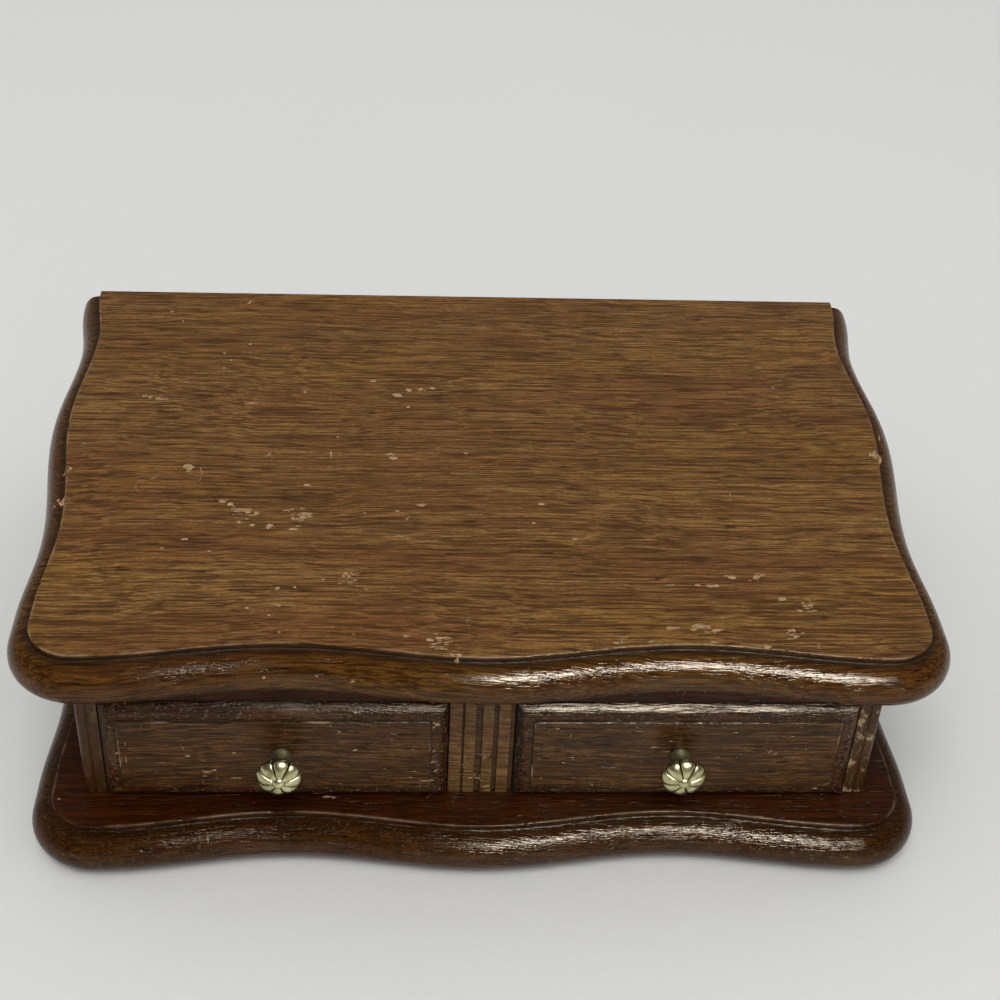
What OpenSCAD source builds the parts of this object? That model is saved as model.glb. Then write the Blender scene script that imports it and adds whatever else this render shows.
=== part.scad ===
// Vanity box with a hinged mirror lid and two drawers.
// Millimetres. +Z is up, the front faces -Y, +X is to the right seen from the front.
// The origin lies on the ground under the middle of the box.

/* [Lid and base] */
// Greatest width of the lid and of the base, at their back edge
board_w = 275; // [255:1:300]
// Depth of the lid, from its back edge to its front nose
lid_d = 197; // [195:1:215]
// Depth of the base, which stands a little forward of the lid
base_d = 201; // [197:1:220]
// Thickness of the lid
lid_t = 15; // [13:0.5:20]
// Thickness of the base
base_t = 15; // [12:0.5:20]
// Thickness of the felt glued under the base
felt_t = 1; // [0.5:0.1:2]

/* [Serpentine outline] */
// How far the front corners stand in from the greatest half width
corner_in = 5.3; // [3:0.1:9]
// How far the waist stands in from the greatest half width
waist_in = 7.1; // [2:0.1:9]
// How far the bulge of the side stands in from the greatest half width
bulge_in = 1.2; // [0:0.1:4]
// How far the neck behind the bulge stands in from the greatest half width
neck_in = 3.7; // [0:0.1:6]
// Radius of the front corners at the nose
corner_r = 20; // [15:1:28]
// Depth of the two hollows in the front edge
front_hollow = 5.6; // [0:0.2:8]

/* [Edge moulding] */
// Height of the square step under the top face
step_h = 2; // [1:0.1:3]
// Width of the ledge at the foot of the step
step_w = 1.1; // [0.5:0.1:2]
// How far the ledge falls towards its outer edge
ledge_fall = 0.2; // [0.1:0.05:0.5]
// How far the rounded nose reaches out past the ledge
nose_out = 5.4; // [3:0.1:6]
// Depth of the nose's farthest line below the top face
nose_drop = 9; // [6:0.5:10]
// Width of the worn chamfer round the top face
arris = 0.4; // [0.2:0.1:0.8]

/* [Case] */
// Width of the case
case_w = 232; // [215:1:238]
// Depth of the case
case_d = 181; // [165:1:184]
// Height of the case between base and lid
case_h = 48; // [44:1:70]
// Thickness of the side boards
side_t = 6.4; // [6:0.2:10]
// Thickness of the back board
back_t = 9; // [8.6:0.2:12]
// Thickness of the front rail and the centre stile
front_t = 9.5; // [9:0.5:12]
// Height of the rail above the drawers
rail_h = 11; // [8:0.5:16]
// Thickness of the board between the drawers
partition_t = 6; // [4:0.5:10]
// Depth of the grooves that hold the panels
groove = 2; // [1:0.5:3]
// Width of the groove line along each side board's front edge
bead_line = 0.7; // [0.4:0.1:1.2]
// Width of the outer bead on each side board's front edge
bead_w = 2.9; // [2:0.1:4]

/* [Centre stile] */
// Width of the centre stile
stile_w = 19; // [14:0.5:26]
// Number of reeds on the centre stile
reed_count = 4; // [2:1:6]
// Width of the grooves between the reeds
reed_gap = 1.15; // [0.6:0.05:1.6]
// Height of a reed above its grooves
reed_h = 1; // [0.5:0.1:1.5]

/* [Drawers] */
// Gap between a drawer front and the frame round it
drawer_gap = 0.3; // [0.2:0.1:0.8]
// Gap under a drawer
drawer_lift = 0.2; // [0.1:0.1:0.5]
// Height of a drawer's box
drawer_box_h = 23; // [18:1:26]
// Gap between a closed drawer and the back board
drawer_end_gap = 6; // [2:0.5:30]
// Thickness of a drawer's sides and back
drawer_side_t = 5; // [3:0.5:8]
// Thickness of a drawer's bottom panel
drawer_bottom_t = 2.5; // [2:0.5:4]
// Height of the bottom panel above the drawer's lower edge
drawer_bottom_up = 2; // [1:0.5:4]
// Width of the rounded border of a drawer front
border_w = 5; // [3:0.5:8]
// How far the border's round rises out of the front plane
border_rise = 2.3; // [1:0.1:3]
// Height of the sharp step from the border up to the field
field_step = 0.7; // [0.3:0.1:1.2]
// Thickness of the velvet in the drawers and in the tray
velvet_t = 1; // [0.6:0.1:2]
// Gap between the tray's floor and the drawers below it
kicker_gap = 0.8; // [0.4:0.1:1.5]

/* [Knobs] */
// Greatest diameter of a knob
knob_d = 13.4; // [10:0.2:15]
// How far each knob sits from the middle of its drawer towards the stile
knob_in = 1.6; // [0:0.2:8]
// Number of lobes round a knob
lobe_count = 8; // [6:1:10]
// Distance from the drawer's field to the middle of the knob's head
knob_reach = 8.4; // [7:0.1:12]
// Half the thickness of a knob's head
knob_half_t = 3.1; // [2.4:0.1:4]
// Depth of the grooves between a knob's lobes
lobe_groove = 0.8; // [0.4:0.1:1.5]
// Diameter of the domed button in the middle of a knob
button_d = 4; // [3:0.1:5]
// How far the button stands out of the head
button_rise = 0.7; // [0.4:0.1:1.2]
// Diameter of a knob's neck
neck_d = 4.8; // [4:0.1:5.4]
// Diameter of a knob's foot
foot_d = 6; // [5.6:0.1:8]
// Height of a knob's foot
foot_h = 0.7; // [0.4:0.1:1.2]
// Thread diameter of the screw that holds a knob
knob_screw_d = 2.5; // [2:0.1:2.6]
// Height of the sunk head of that screw
screw_head_h = 1.6; // [1:0.1:2.4]
// Metal left in front of the screw's end, behind the middle of the knob's head
knob_cap_t = 1; // [0.5:0.1:2]

/* [Tray] */
// Thickness of the tray's floor
tray_floor_t = 2.5; // [2:0.5:4]
// Thickness of the board in front of the tray
tray_front_t = 5; // [4:0.5:8]
// Thickness of the dividers in the tray
divider_t = 4; // [2:0.5:6]
// Height of the dividers above the velvet
divider_h = 14; // [8:0.5:15]
// Room left between the ring rolls and the closed lid
roll_room = 5.5; // [3:0.5:9]
// Least gap between one ring roll and the next
roll_gap = 0.5; // [0.4:0.1:2]

/* [Mirror] */
// Width of the mirror glass
mirror_w = 190; // [150:1:210]
// Depth of the mirror glass
mirror_d = 134; // [100:1:140]
// Thickness of the mirror glass
mirror_t = 3; // [2:0.5:4]
// Thickness of the card behind the mirror
card_t = 0.5; // [0.3:0.1:1]
// Width of the moulding round the mirror
frame_w = 11; // [8:0.5:12]
// How far the moulding laps over the glass
frame_lap = 3; // [2:0.5:4]
// Thickness of the moulding round the mirror
frame_t = 3; // [2:0.5:4]
// Distance of the mirror's moulding from the lid's back edge
mirror_back_in = 12.8; // [10:0.2:20]

/* [Hinges] */
// Length of each hinge
hinge_l = 32; // [24:1:40]
// Distance of each hinge's middle from the middle of the box
hinge_x = 72; // [40:1:80]
// Width of a hinge leaf on the wood
leaf_w = 7.6; // [6:0.2:8.4]
// Thickness of a hinge leaf
leaf_t = 1; // [0.8:0.1:1.4]
// Diameter of the hinge pins
pin_d = 1.8; // [1.4:0.1:2.2]
// Wall of the hinge knuckles round the pin
knuckle_wall = 1.1; // [0.8:0.1:1.5]
// Length of each hinge's middle knuckle
knuckle_l = 12; // [8:0.5:16]
// Angle at which the stop lugs end the lid's swing
lid_open = 98; // [90:1:105]
// Reach of the stop lug from the pin's axis
lug_reach = 3.6; // [3.3:0.1:4]
// Thickness of the stop lug
lug_t = 1.3; // [1:0.1:2]

/* [Screws] */
// Shank diameter of the hinge screws
hinge_screw_d = 1.5; // [1.2:0.1:1.8]
// Length of the hinge screws
hinge_screw_l = 7; // [5:0.5:8]
// Distance of a hinge screw from the hinge's middle
hinge_screw_x = 10; // [9:0.5:11.5]
// Shank diameter of the screws through the base
base_screw_d = 2.6; // [2:0.1:3]
// Length of the screws through the base
base_screw_l = 26; // [20:1:32]
// Distance of the screws through the base from the case's ends
base_screw_in = 28; // [20:1:40]

/* [Hidden] */

// Clearances
hinge_gap = 0.1;
pin_gap = 0.03;
hole_gap = 0.05;
stop_gap = 0.05;
soft_gap = 0.3;
guide_gap = 0.5;
seat_gap = 0.3;
eps = 0.01;

// Where the side's crests and hollows lie, as parts of the depth from the front
corner_at = 0.145;
waist_at = 0.305;
bulge_at = 0.625;
neck_at = 0.83;

// Steps that draw the outline and its moulding
front_steps = 22;
corner_steps = 8;
side_steps = 7;
round_steps = 6;
lobe_steps = 8;
head_steps = 11;

// Levels
base_top = felt_t + base_t;
case_top = base_top + case_h;
rail_bottom = case_top - rail_h;
drawer_bottom = base_top + drawer_lift;
drawer_top = rail_bottom - drawer_gap;
drawer_box_top = drawer_bottom + drawer_box_h;
drawer_floor = drawer_bottom + drawer_bottom_up;
drawer_floor_top = drawer_floor + drawer_bottom_t;
tray_under = drawer_box_top + kicker_gap;
tray_floor_top = tray_under + tray_floor_t;
tray_velvet_top = tray_floor_top + velvet_t;

// Places from front to back and from side to side
barrel_r = pin_d / 2 + knuckle_wall;
axis_out = barrel_r + hinge_gap;
lug_tilt = lid_open - 90;
back_y = (base_d - axis_out - lug_reach * cos(lug_tilt)) / 2;
axis_y = back_y + axis_out;
front_y = back_y - case_d;
case_half = case_w / 2;
inner_half = case_half - side_t;
stile_half = stile_w / 2;
inner_back = back_y - back_t;
frame_back = front_y + front_t;
tray_y0 = frame_back + tray_front_t;
drawer_front_t = front_t - seat_gap;
drawer_x0 = stile_half + drawer_gap;
drawer_x1 = inner_half - drawer_gap;
drawer_mid_x = (drawer_x0 + drawer_x1) / 2;
drawer_mid_z = (drawer_bottom + drawer_top) / 2;
drawer_end = inner_back - drawer_end_gap;
field_out = border_rise + field_step;
tray_mid_y = (tray_y0 + inner_back) / 2;

// The mirror lies in a rebate under the lid, behind a moulding that is flush with the lid's underside
frame_out = frame_w - frame_lap;
mirror_half_w = mirror_w / 2;
mirror_half_d = mirror_d / 2;
mirror_mid_y = back_y - mirror_back_in - frame_out - mirror_half_d;
glass_z = case_top + frame_t;
card_z = glass_z + mirror_t;

walnut = [0.30, 0.16, 0.09];
walnut_dark = [0.22, 0.11, 0.06];
drawer_wood = [0.62, 0.45, 0.28];
brass = [0.72, 0.60, 0.35];
steel = [0.60, 0.60, 0.62];
velvet = [0.42, 0.05, 0.10];
felt = [0.10, 0.16, 0.11];

// A block from one corner to the opposite one
module block(from, to) {
    translate(from) cube(to - from);
}

// What is drawn on the right side, or its mirror image on the left when s is -1
module on_side(s) {
    scale_x = s < 0 ? 1 : 0;
    mirror([scale_x, 0, 0]) children();
}

// Eases from a to b as t runs from 0 to 1, level at both ends
function ease(a, b, t) = a + (b - a) * (1 - cos(180 * t)) / 2;

// Half the outline at the nose, from the middle of the front round to the back edge.
// The front is a wave that crests in the middle and where each corner's arc begins.
function half_outline(d) =
    let (half = board_w / 2,
         corner_x = half - corner_in - corner_r,
         ats = [corner_at, waist_at, bulge_at, neck_at, 1],
         ins = [corner_in, waist_in, bulge_in, neck_in, 0])
    concat(
        [for (i = [0 : front_steps - 1]) let (t = i / front_steps)
            [corner_x * t, front_hollow * (1 - cos(360 * t)) / 2]],
        [for (i = [0 : corner_steps - 1]) let (a = 90 * i / corner_steps)
            [corner_x + corner_r * sin(a), corner_r * (1 - cos(a))]],
        [[half - corner_in, corner_r]],
        [for (k = [0 : 3], i = [0 : side_steps - 1]) let (t = i / side_steps)
            [half - ease(ins[k], ins[k + 1], t), d * (ats[k] + (ats[k + 1] - ats[k]) * t)]],
        [[half, d]]);

// The outward direction at point i of a half outline
function outward(p, i) =
    i == 0 ? [0, -1] :
    i == len(p) - 1 ? [1, 0] :
    let (t = p[i + 1] - p[i - 1]) [t.y, -t.x] / norm(t);

// The whole outline drawn in by a distance, at one height
function ring(p, inset, z) =
    let (q = [for (i = [0 : len(p) - 1]) p[i] - inset * outward(p, i)], n = len(p))
    concat(
        [for (i = [0 : n - 1]) [q[i].x, q[i].y, z]],
        [for (i = [n - 1 : -1 : 1]) [-q[i].x, q[i].y, z]]);

// The edge moulding from the underside up, each entry an inset and a height
function moulding(t) =
    let (under_r = t - nose_drop, rise = nose_drop - step_h - ledge_fall)
    concat(
        [for (i = [0 : round_steps - 1]) let (a = 90 * i / round_steps)
            [under_r * (1 - sin(a)), under_r * (1 - cos(a))]],
        [for (i = [0 : round_steps]) let (a = 90 * i / round_steps)
            [nose_out * (1 - cos(a)), under_r + rise * sin(a)]],
        [[nose_out + step_w, t - step_h],
         [nose_out + step_w, t - arris],
         [nose_out + step_w + arris, t]]);

// A serpentine board with its moulded edge, its back edge square.
// Its flat faces are fans of triangles round a point in their middle.
module moulded_board(d, t) {
    p = half_outline(d);
    m = moulding(t);
    n = 2 * len(p) - 1;
    last = (len(m) - 1) * n;
    hub = len(m) * n;
    points = concat([for (s = m) each ring(p, s[0], s[1])], [[0, d / 2, 0], [0, d / 2, t]]);
    sides = [for (k = [0 : len(m) - 2], i = [0 : n - 1]) let (j = (i + 1) % n)
        each [[k * n + i, (k + 1) * n + i, (k + 1) * n + j],
              [k * n + i, (k + 1) * n + j, k * n + j]]];
    under = [for (i = [0 : n - 1]) [i, (i + 1) % n, hub]];
    top = [for (i = [0 : n - 1]) [last + (i + 1) % n, last + i, hub + 1]];
    translate([0, back_y - d, 0]) polyhedron(points, concat(under, top, sides));
}

// The flat felt under the base, as far out as the base's flat underside
module base_felt() {
    color(felt)
    translate([0, back_y - base_d, 0])
    linear_extrude(felt_t)
    polygon([for (p = ring(half_outline(base_d), base_t - nose_drop + step_w, 0)) [p.x, p.y]]);
}

// Where the screws through the base stand
base_screw_spots = [for (s = [-1, 1], y = [front_y + base_screw_in, back_y - base_screw_in])
    [s * (case_half - side_t / 2), y]];

// A countersunk screw standing head down, or the hole for it
module screw(d, l, head_h, gap = 0) {
    rotate_extrude($fn = 32)
    polygon([[0, 0], [d + gap, 0], [d / 2 + gap, head_h], [d / 2 + gap, l + gap], [0, l + gap]]);
}

module base_screw_set(gap = 0) {
    for (p = base_screw_spots)
        translate([p.x, p.y, felt_t]) screw(base_screw_d, base_screw_l, base_screw_d / 2, gap);
}

module base_board() {
    color(walnut_dark)
    difference() {
        translate([0, 0, felt_t]) moulded_board(base_d, base_t);
        base_screw_set(hole_gap);
    }
}

module base_screws() {
    color(steel) base_screw_set();
}

// A side board: beaded on its front edge, grooved for the tray's floor
module side_board(s) {
    color(walnut)
    on_side(s)
    difference() {
        translate([0, 0, base_top])
        linear_extrude(case_h)
        difference() {
            translate([inner_half, front_y]) square([side_t, case_d]);
            translate([case_half - bead_w - bead_line / 2, front_y]) circle(d = bead_line, $fn = 24);
            difference() {
                translate([case_half - bead_w / 2, front_y - eps]) square([bead_w, bead_w / 2 + eps]);
                translate([case_half - bead_w / 2, front_y + bead_w / 2]) circle(d = bead_w, $fn = 40);
            }
        }
        block([inner_half - eps, frame_back, tray_under],
              [inner_half + groove, inner_back + groove, tray_floor_top]);
        base_screw_set(hole_gap);
    }
}

// Where the hinges' screws stand on the leaves
hinge_screw_spots = [for (s = [-1, 1], k = [-1, 1])
    [s * hinge_x + k * hinge_screw_x, back_y - leaf_w / 2]];

module hinge_screw_set(up, gap = 0) {
    for (p = hinge_screw_spots)
        translate([p.x, p.y, case_top])
        mirror([0, 0, up ? 0 : 1])
        screw(hinge_screw_d, hinge_screw_l, leaf_t, gap);
}

module hinge_mortises(z0, z1) {
    for (s = [-1, 1])
        block([s * hinge_x - hinge_l / 2, back_y - leaf_w, z0],
              [s * hinge_x + hinge_l / 2, back_y + eps, z1]);
}

module back_board() {
    color(walnut)
    difference() {
        block([-inner_half, inner_back, base_top], [inner_half, back_y, case_top]);
        block([-inner_half - eps, inner_back - eps, tray_under],
              [inner_half + eps, inner_back + groove, tray_floor_top]);
        hinge_mortises(case_top - leaf_t, case_top + eps);
        hinge_screw_set(false, hole_gap);
    }
}

module front_rail() {
    color(walnut)
    block([-inner_half, front_y, rail_bottom], [inner_half, frame_back, case_top]);
}

// The part of a reed's height that is rounded. Below it the reed's walls stand straight.
reed_round_part = 0.75;

// The centre stile, with its reeds standing out of a sunk face
module centre_stile() {
    pitch = (stile_w + reed_gap) / reed_count;
    reed_half = (pitch - reed_gap) / 2;
    reed_round = reed_h * reed_round_part;
    reed_r = (reed_half * reed_half + reed_round * reed_round) / (2 * reed_round);
    color(walnut)
    translate([0, 0, base_top])
    linear_extrude(rail_bottom - base_top) {
        translate([-stile_half, front_y + reed_h]) square([stile_w, front_t - reed_h]);
        for (i = [0 : reed_count - 1])
            translate([(i - (reed_count - 1) / 2) * pitch, front_y])
            intersection() {
                translate([0, reed_r]) circle(r = reed_r, $fn = 72);
                translate([-reed_half, 0]) square([2 * reed_half, reed_h + eps]);
            }
    }
}

module partition() {
    color(drawer_wood)
    block([-partition_t / 2, frame_back, base_top], [partition_t / 2, inner_back, tray_under]);
}

// The strip that steers a drawer's inner side
module guide(s) {
    color(drawer_wood)
    on_side(s)
    block([partition_t / 2, frame_back, base_top],
          [drawer_x0 - guide_gap, inner_back, base_top + drawer_box_h / 3]);
}

module tray_floor() {
    color(drawer_wood)
    block([-inner_half - groove, frame_back, tray_under],
          [inner_half + groove, inner_back + groove, tray_floor_top]);
}

module tray_front() {
    color(walnut)
    block([-inner_half, frame_back, tray_floor_top], [inner_half, tray_y0, case_top]);
}

// Velvet on the floor and the walls of the tray
module tray_lining() {
    rim = case_top - velvet_t;
    color(velvet)
    difference() {
        block([-inner_half, tray_y0, tray_floor_top], [inner_half, inner_back, rim]);
        block([-inner_half + velvet_t, tray_y0 + velvet_t, tray_velvet_top],
              [inner_half - velvet_t, inner_back - velvet_t, rim + eps]);
    }
}

divider_top = tray_velvet_top + divider_h;

module divider_long() {
    color(velvet)
    block([-divider_t / 2, tray_y0 + velvet_t, tray_velvet_top],
          [divider_t / 2, inner_back - velvet_t, divider_top]);
}

module divider_cross() {
    color(velvet)
    block([divider_t / 2, tray_mid_y - divider_t / 2, tray_velvet_top],
          [inner_half - velvet_t, tray_mid_y + divider_t / 2, divider_top]);
}

// A row of padded rolls that hold rings in the left half of the tray
module ring_rolls() {
    room = inner_back - tray_y0 - 2 * velvet_t - roll_gap;
    roll_r = (case_top - tray_velvet_top - roll_room) / 2;
    roll_count = floor(room / (2 * roll_r + roll_gap) + eps);
    pitch = room / roll_count;
    roll_x0 = -inner_half + velvet_t + soft_gap;
    color(velvet)
    for (i = [0 : roll_count - 1])
        translate([roll_x0, tray_y0 + velvet_t + roll_gap / 2 + (i + 0.5) * pitch, tray_velvet_top + roll_r])
        rotate([0, 90, 0])
        cylinder(r = roll_r, h = -divider_t / 2 - soft_gap - roll_x0, $fn = 48);
}

// A hinge seen along its pin: the knuckles, bored for the pin, lie on the axis
module knuckle(x0, x1, r) {
    translate([x0, axis_y, case_top]) rotate([0, 90, 0]) cylinder(r = r, h = x1 - x0, $fn = 48);
}

// The case's leaf, with two outer knuckles and a bar below them that stops the lug
module case_leaf(s) {
    x = s * hinge_x;
    half = hinge_l / 2;
    inner = knuckle_l / 2 + hinge_gap;
    color(brass)
    difference() {
        union() {
            block([x - half, back_y - leaf_w, case_top - leaf_t], [x + half, back_y, case_top]);
            for (e = [[x - half, x - inner], [x + inner, x + half]]) {
                block([e[0], back_y - eps, case_top - leaf_t], [e[1], axis_y, case_top]);
                knuckle(e[0], e[1], barrel_r);
                block([e[0], back_y, case_top - lug_reach], [e[1], axis_y - stop_gap, case_top - leaf_t]);
            }
            block([x - half, back_y, case_top - lug_reach],
                  [x + half, axis_y - stop_gap, case_top - barrel_r - hinge_gap]);
        }
        knuckle(x - half - eps, x + half + eps, pin_d / 2 + pin_gap);
        hinge_screw_set(false, hole_gap);
    }
}

// The lid's leaf, with the middle knuckle and the lug that meets the bar when the lid is open
module lid_leaf(s) {
    x = s * hinge_x;
    half = hinge_l / 2;
    color(brass)
    difference() {
        union() {
            block([x - half, back_y - leaf_w, case_top], [x + half, back_y, case_top + leaf_t]);
            block([x - knuckle_l / 2, back_y - eps, case_top], [x + knuckle_l / 2, axis_y, case_top + leaf_t]);
            knuckle(x - knuckle_l / 2, x + knuckle_l / 2, barrel_r);
            translate([x - knuckle_l / 2, axis_y, case_top])
            rotate([lug_tilt, 0, 0])
            cube([knuckle_l, lug_reach, lug_t]);
        }
        knuckle(x - half, x + half, pin_d / 2 + pin_gap);
        hinge_screw_set(true, hole_gap);
    }
}

module hinge_pin(s) {
    color(brass)
    knuckle(s * hinge_x - hinge_l / 2, s * hinge_x + hinge_l / 2, pin_d / 2);
}

module hinge_case_screws() {
    color(brass) hinge_screw_set(false);
}

module hinge_lid_screws() {
    color(brass) hinge_screw_set(true);
}

// A block under the lid that stands out past the mirror by a distance on every side
module mirror_block(out, z0, z1) {
    block([-mirror_half_w - out, mirror_mid_y - mirror_half_d - out, z0],
          [mirror_half_w + out, mirror_mid_y + mirror_half_d + out, z1]);
}

module lid_board() {
    color(walnut)
    difference() {
        translate([0, 0, case_top]) moulded_board(lid_d, lid_t);
        mirror_block(frame_out, case_top - eps, glass_z);
        mirror_block(0, glass_z - eps, card_z + card_t);
        hinge_mortises(case_top - eps, case_top + leaf_t);
        hinge_screw_set(true, hole_gap);
    }
}

module mirror_glass() {
    color([0.85, 0.90, 0.92]) mirror_block(0, glass_z, card_z);
}

module mirror_card() {
    color([0.55, 0.50, 0.42]) mirror_block(0, card_z, card_z + card_t);
}

// One mitred length of the moulding round the mirror. Its rounded edge meets the glass.
module frame_length(angle, run, reach) {
    long = run + 2 * frame_out;
    outer = reach + frame_out;
    color(walnut_dark)
    translate([0, mirror_mid_y, glass_z])
    rotate([0, 0, angle])
    intersection() {
        translate([-long / 2, -outer, 0])
        rotate([90, 0, 90])
        linear_extrude(long)
        mirror([0, 1])
        union() {
            square([frame_w - frame_t, frame_t]);
            intersection() {
                translate([frame_w - frame_t, 0]) circle(r = frame_t, $fn = 48);
                translate([frame_w - frame_t - eps, 0]) square(frame_t + eps);
            }
        }
        translate([0, -outer, -frame_t - eps])
        linear_extrude(frame_t + 2 * eps)
        polygon([[-long / 2, 0], [long / 2, 0], [long / 2 - frame_w, frame_w],
                 [-long / 2 + frame_w, frame_w]]);
    }
}

// A drawer front: a block whose face rises through a rounded border to a flat field.
// The border is the meeting of two profiles, one along each way, so its corners are mitred.
function front_profile(width) =
    let (round = [for (i = [0 : round_steps]) let (a = 90 * i / round_steps)
            [border_w * (1 - cos(a)), border_rise * sin(a)]],
         rise = concat(round, [[border_w, field_out]]))
    concat(
        [[0, -drawer_front_t]],
        rise,
        [for (i = [len(rise) - 1 : -1 : 0]) [width - rise[i][0], rise[i][1]]],
        [[width, -drawer_front_t]]);

module drawer_front(s) {
    w = drawer_x1 - drawer_x0;
    h = drawer_top - drawer_bottom;
    color(walnut)
    on_side(s)
    difference() {
        intersection() {
            translate([drawer_x0, front_y, drawer_bottom])
            linear_extrude(h)
            mirror([0, 1])
            polygon(front_profile(w));
            translate([drawer_x1, front_y, drawer_bottom])
            rotate([90, 0, -90])
            linear_extrude(w)
            rotate(90)
            polygon([for (p = front_profile(h)) [p.x, -p.y]]);
        }
        block([drawer_x0 - eps, front_y + drawer_front_t - groove, drawer_floor],
              [drawer_x1 + eps, front_y + drawer_front_t + eps, drawer_floor_top]);
        knob_screw_shape(hole_gap);
    }
}

module drawer_side(s, x0, groove_x) {
    color(drawer_wood)
    on_side(s)
    difference() {
        block([x0, front_y + drawer_front_t, drawer_bottom],
              [x0 + drawer_side_t, drawer_end, drawer_box_top]);
        block([groove_x, front_y + drawer_front_t - eps, drawer_floor],
              [groove_x + groove + eps, drawer_end + eps, drawer_floor_top]);
    }
}

module drawer_outer_side(s) {
    drawer_side(s, drawer_x1 - drawer_side_t, drawer_x1 - drawer_side_t - eps);
}

module drawer_inner_side(s) {
    drawer_side(s, drawer_x0, drawer_x0 + drawer_side_t - groove);
}

module drawer_back(s) {
    color(drawer_wood)
    on_side(s)
    block([drawer_x0 + drawer_side_t, drawer_end - drawer_side_t, drawer_floor_top],
          [drawer_x1 - drawer_side_t, drawer_end, drawer_box_top]);
}

module drawer_panel(s) {
    in = drawer_side_t - groove;
    color(drawer_wood)
    on_side(s)
    block([drawer_x0 + in, front_y + drawer_front_t - groove, drawer_floor],
          [drawer_x1 - in, drawer_end, drawer_floor_top]);
}

module drawer_velvet(s) {
    in = drawer_side_t + soft_gap;
    color(velvet)
    on_side(s)
    block([drawer_x0 + in, front_y + drawer_front_t + soft_gap, drawer_floor_top],
          [drawer_x1 - in, drawer_end - in, drawer_floor_top + velvet_t]);
}

// A knob's axis comes out of a drawer front, a little nearer the stile than its middle
module at_knob() {
    translate([drawer_mid_x - knob_in, front_y - field_out, drawer_mid_z]) rotate([90, 0, 0]) children();
}

knob_thread_l = knob_reach - knob_cap_t;

// The screw runs from a sunk head inside the drawer into the knob
module knob_screw_shape(gap = 0) {
    behind = drawer_front_t + field_out;
    on_side(1)
    at_knob() {
        translate([0, 0, -behind - gap]) cylinder(r = knob_screw_d / 2 + gap, h = behind + knob_thread_l + 2 * gap, $fn = 32);
        translate([0, 0, -behind - gap]) cylinder(r = knob_screw_d + gap, h = screw_head_h + 2 * gap, $fn = 40);
    }
}

module drawer_knob_screw(s) {
    color(steel) on_side(s) knob_screw_shape();
}

// The lobed head of a knob: rings from its back to its front, drawn in between the lobes
module melon() {
    n = lobe_count * lobe_steps;
    r = knob_d / 2;
    start = asin(neck_d / knob_d);
    end = 180 - asin(button_d / knob_d * 0.8);
    rings = [for (k = [0 : head_steps]) let (a = start + (end - start) * k / head_steps)
        [for (i = [0 : n - 1]) let (turn = 360 * i / n,
              across = 180 * ((i % lobe_steps) / lobe_steps - 0.5),
              reach = (r - lobe_groove * (1 - cos(across))) * sin(a))
            [reach * cos(turn), reach * sin(turn), -knob_half_t * cos(a)]]];
    points = concat([for (ring_points = rings) each ring_points],
                    [[0, 0, -knob_half_t * cos(start)], [0, 0, -knob_half_t * cos(end)]]);
    hub = (head_steps + 1) * n;
    skin = [for (k = [0 : head_steps - 1], i = [0 : n - 1]) let (j = (i + 1) % n)
        each [[k * n + i, (k + 1) * n + i, (k + 1) * n + j],
              [k * n + i, (k + 1) * n + j, k * n + j]]];
    back = [for (i = [0 : n - 1]) [i, (i + 1) % n, hub]];
    front = [for (i = [0 : n - 1]) [head_steps * n + (i + 1) % n, head_steps * n + i, hub + 1]];
    polyhedron(points, concat(back, front, skin));
}

// A knob: the lobed head with a button in its middle, on a turned neck and foot
module drawer_knob(s) {
    color(brass)
    on_side(s)
    at_knob()
    difference() {
        union() {
            translate([0, 0, knob_reach]) melon();
            rotate_extrude($fn = 48)
            polygon([[0, 0], [foot_d / 2, 0], [foot_d / 2, foot_h], [neck_d / 2, 2 * foot_h],
                     [neck_d / 2, knob_reach], [0, knob_reach]]);
            translate([0, 0, knob_reach + knob_half_t + button_rise - button_d / 2])
            sphere(d = button_d, $fn = 40);
        }
        translate([0, 0, -eps])
        cylinder(r = knob_screw_d / 2 + hole_gap, h = knob_thread_l + hole_gap + eps, $fn = 32);
    }
}

base_felt();
base_board();
base_screws();
side_board(-1);  // side_left
side_board(1);  // side_right
back_board();
front_rail();
centre_stile();
partition();
guide(-1);  // guide_left
guide(1);  // guide_right
tray_floor();
tray_front();
tray_lining();
divider_long();
divider_cross();
ring_rolls();
case_leaf(-1);  // hinge_left_case_leaf
case_leaf(1);  // hinge_right_case_leaf
hinge_pin(-1);  // hinge_left_pin
hinge_pin(1);  // hinge_right_pin
hinge_case_screws();
lid_board();
mirror_glass();
mirror_card();
frame_length(0, mirror_w, mirror_half_d);  // mirror_frame_front
frame_length(180, mirror_w, mirror_half_d);  // mirror_frame_back
frame_length(-90, mirror_d, mirror_half_w);  // mirror_frame_left
frame_length(90, mirror_d, mirror_half_w);  // mirror_frame_right
lid_leaf(-1);  // hinge_left_lid_leaf
lid_leaf(1);  // hinge_right_lid_leaf
hinge_lid_screws();
drawer_front(-1);  // drawer_left_front
drawer_outer_side(-1);  // drawer_left_outer_side
drawer_inner_side(-1);  // drawer_left_inner_side
drawer_back(-1);  // drawer_left_back
drawer_panel(-1);  // drawer_left_bottom
drawer_velvet(-1);  // drawer_left_velvet
drawer_knob(-1);  // drawer_left_knob
drawer_knob_screw(-1);  // drawer_left_knob_screw
drawer_front(1);  // drawer_right_front
drawer_outer_side(1);  // drawer_right_outer_side
drawer_inner_side(1);  // drawer_right_inner_side
drawer_back(1);  // drawer_right_back
drawer_panel(1);  // drawer_right_bottom
drawer_velvet(1);  // drawer_right_velvet
drawer_knob(1);  // drawer_right_knob
drawer_knob_screw(1);  // drawer_right_knob_screw
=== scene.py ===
import math
import random

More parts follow.
